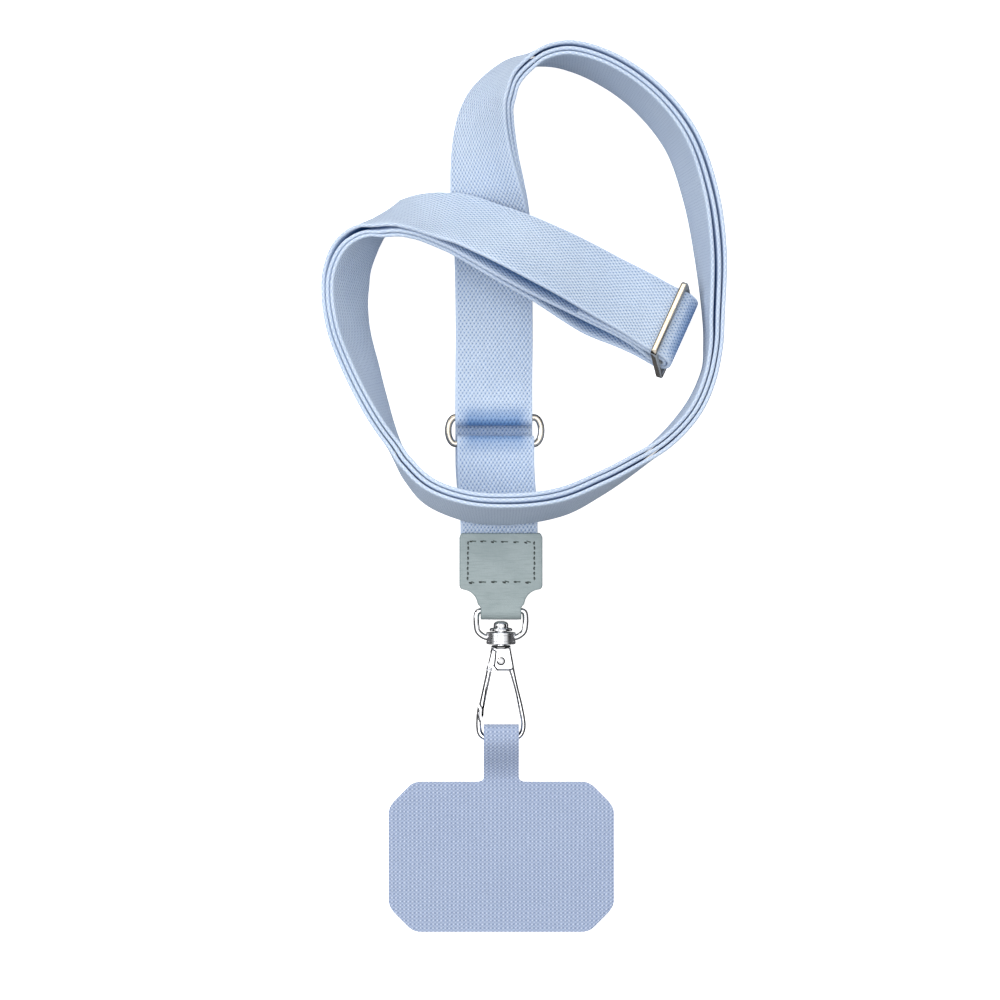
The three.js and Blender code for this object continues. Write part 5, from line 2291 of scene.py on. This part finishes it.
@dataclass
class Softbox:
    """One soft light."""

    name: str
    place: Point
    target: Point
    width: float
    height: float
    power: float
    colour: Colour = (255, 255, 255)

    def build(self) -> bpy.types.Object:
        """Hang the light.

        Returns:
            The light.
        """
        light = bpy.data.lights.new(self.name, "AREA")
        light.shape = "RECTANGLE"
        light.size, light.size_y = self.width, self.height
        light.energy = self.power
        light.color = linear(self.colour)[:3]
        obj = linked(self.name, light)
        obj.location = self.place
        aim = np.array(self.target) - np.array(self.place)
        obj.rotation_euler = (
            math.atan2(math.hypot(aim[0], aim[1]), -aim[2]),
            0.0,
            math.atan2(aim[0], -aim[1]) + math.pi if math.hypot(aim[0], aim[1]) > 1e-9 else 0.0,
        )
        return obj


@dataclass
class Studio:
    """Pale floor, a dome that darkens to the horizon, three softboxes and the camera straight above."""

    eye_x: float = -0.35
    eye_y: float = 95.07
    eye_z: float = 850.0
    seen: float = 266.7
    sensor: float = 36.0
    dome: float = 0.88
    horizon: float = 0.02
    side_light: float = 0.6
    floor_glow: float = 0.75
    floor_mirrored: Colour = (96, 96, 98)
    floor_bounced: Colour = (178, 180, 184)
    lights: list[Softbox] = field(
        default_factory=lambda: [
            Softbox("overhead_softbox", (0.0, 0.1, 1.3), (0.0, 0.1, 0.0), 0.9, 0.9, 3.95),
            Softbox("left_softbox", (-0.95, 0.3, 0.75), (0.0, 0.1, 0.0), 0.5, 0.9, 3.8),
            Softbox("back_softbox", (-0.3, 1.05, 0.48), (0.0, 0.1, 0.0), 0.9, 0.32, 2.3, (255, 246, 232)),
        ]
    )

    def camera(self) -> bpy.types.Object:
        """Set the camera up.

        Returns:
            The camera.
        """
        data = bpy.data.cameras.new("camera")
        data.sensor_width = self.sensor
        data.lens = self.sensor * self.eye_z / self.seen
        data.clip_start, data.clip_end = 0.01, 20.0
        obj = linked("camera", data)
        obj.location = (self.eye_x * MM, self.eye_y * MM, self.eye_z * MM)
        bpy.context.scene.camera = obj
        return obj

    def floor(self, level: float) -> bpy.types.Object:
        """Lay the floor.

        Args:
            level: Its height in metres.

        Returns:
            The floor.
        """
        Bench.clear()
        bpy.ops.mesh.primitive_plane_add(size=8.0, location=(0, 0.1, level))
        obj = Bench.named("floor")
        bpy.ops.object.transform_apply(location=True, rotation=True, scale=True)
        material, n, shader = new_material("pale_floor")
        cloud = n.noise(n.place(), 3.0, 2.0)
        paper = n.mix(n.math("MULTIPLY", cloud, 0.1), linear((252, 252, 252)), linear((247, 248, 250)))
        # Painted reflection: in the metal's reflections the floor is painted darker, which darkens the metal's rims;
        # light that it bounces is dimmer.
        rays = n.add("ShaderNodeLightPath")
        bounced = n.mix(rays.outputs["Is Diffuse Ray"], paper, linear(self.floor_bounced))
        n.fill(
            shader,
            Base_Color=n.mix(rays.outputs["Is Glossy Ray"], bounced, linear(self.floor_mirrored)),
            Emission_Strength=n.math("MULTIPLY", rays.outputs["Is Camera Ray"], self.floor_glow),
            Emission_Color=(1.0, 1.0, 1.0, 1.0),
            Roughness=0.8,
            Specular_IOR_Level=0.2,
        )
        obj.data.materials.append(material)
        obj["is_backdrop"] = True
        return obj

    def build(self, level: float) -> None:
        """Make floor, lights, world and view.

        Args:
            level: The floor's height in metres.
        """
        self.floor(level)
        for light in self.lights:
            light.build()
        world = bpy.data.worlds.new("studio")
        world.use_nodes = True
        n = Nodes(world.node_tree)
        background = world.node_tree.nodes["Background"]
        background.inputs["Color"].default_value = (1.0, 1.0, 1.0, 1.0)
        sky = n.add("ShaderNodeTexCoord")
        parts = n.add("ShaderNodeSeparateXYZ")
        n.feed(sky.outputs["Generated"], parts.inputs[0])
        level = n.band(parts.outputs["Z"], 0.24, 0.42, self.horizon, self.dome)
        slope = n.math("MULTIPLY_ADD", parts.outputs["Y"], self.side_light, 1.0)
        mirrored = n.band(parts.outputs["Z"], 0.5, 0.66, self.horizon, 1.0)
        rays = n.add("ShaderNodeLightPath")
        strength = n.add("ShaderNodeMix", data_type="FLOAT")
        n.feed(rays.outputs["Is Glossy Ray"], strength.inputs[0])
        n.feed(n.math("MULTIPLY", level, slope), strength.inputs[2])
        n.feed(mirrored, strength.inputs[3])
        n.feed(strength.outputs[0], background.inputs["Strength"])
        bpy.context.scene.world = world
        bpy.context.scene.view_settings.view_transform = "Standard"
        bpy.context.scene.view_settings.look = "None"


def main() -> None:
    """Build the strap piece by piece and set the studio."""
    logging.basicConfig(level=logging.INFO, format="%(name)s %(message)s")
    Bench.clear()
    studio = Studio()
    studio.camera()
    finishes = Finishes(Effects())
    course = LoopCourse(StrapWebbing.step)
    OvalRing(finishes).build()
    Slider(finishes).build(course)
    strap = StrapWebbing(finishes)
    strap.build(course)
    RingWebbing(finishes).build(strap)
    LeatherTab(finishes).build()
    SwivelEye(finishes).build()
    SnapHook(finishes).build()
    HookGate(finishes).build()
    GateRivet(finishes).build()
    PhonePatch(finishes).build()
    box = [[float(x) for x in corner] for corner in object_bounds()]
    studio.build(min(0.0, box[0][2]) - 0.00002)
    Bench.clear()


if __name__ == "__main__":
    main()
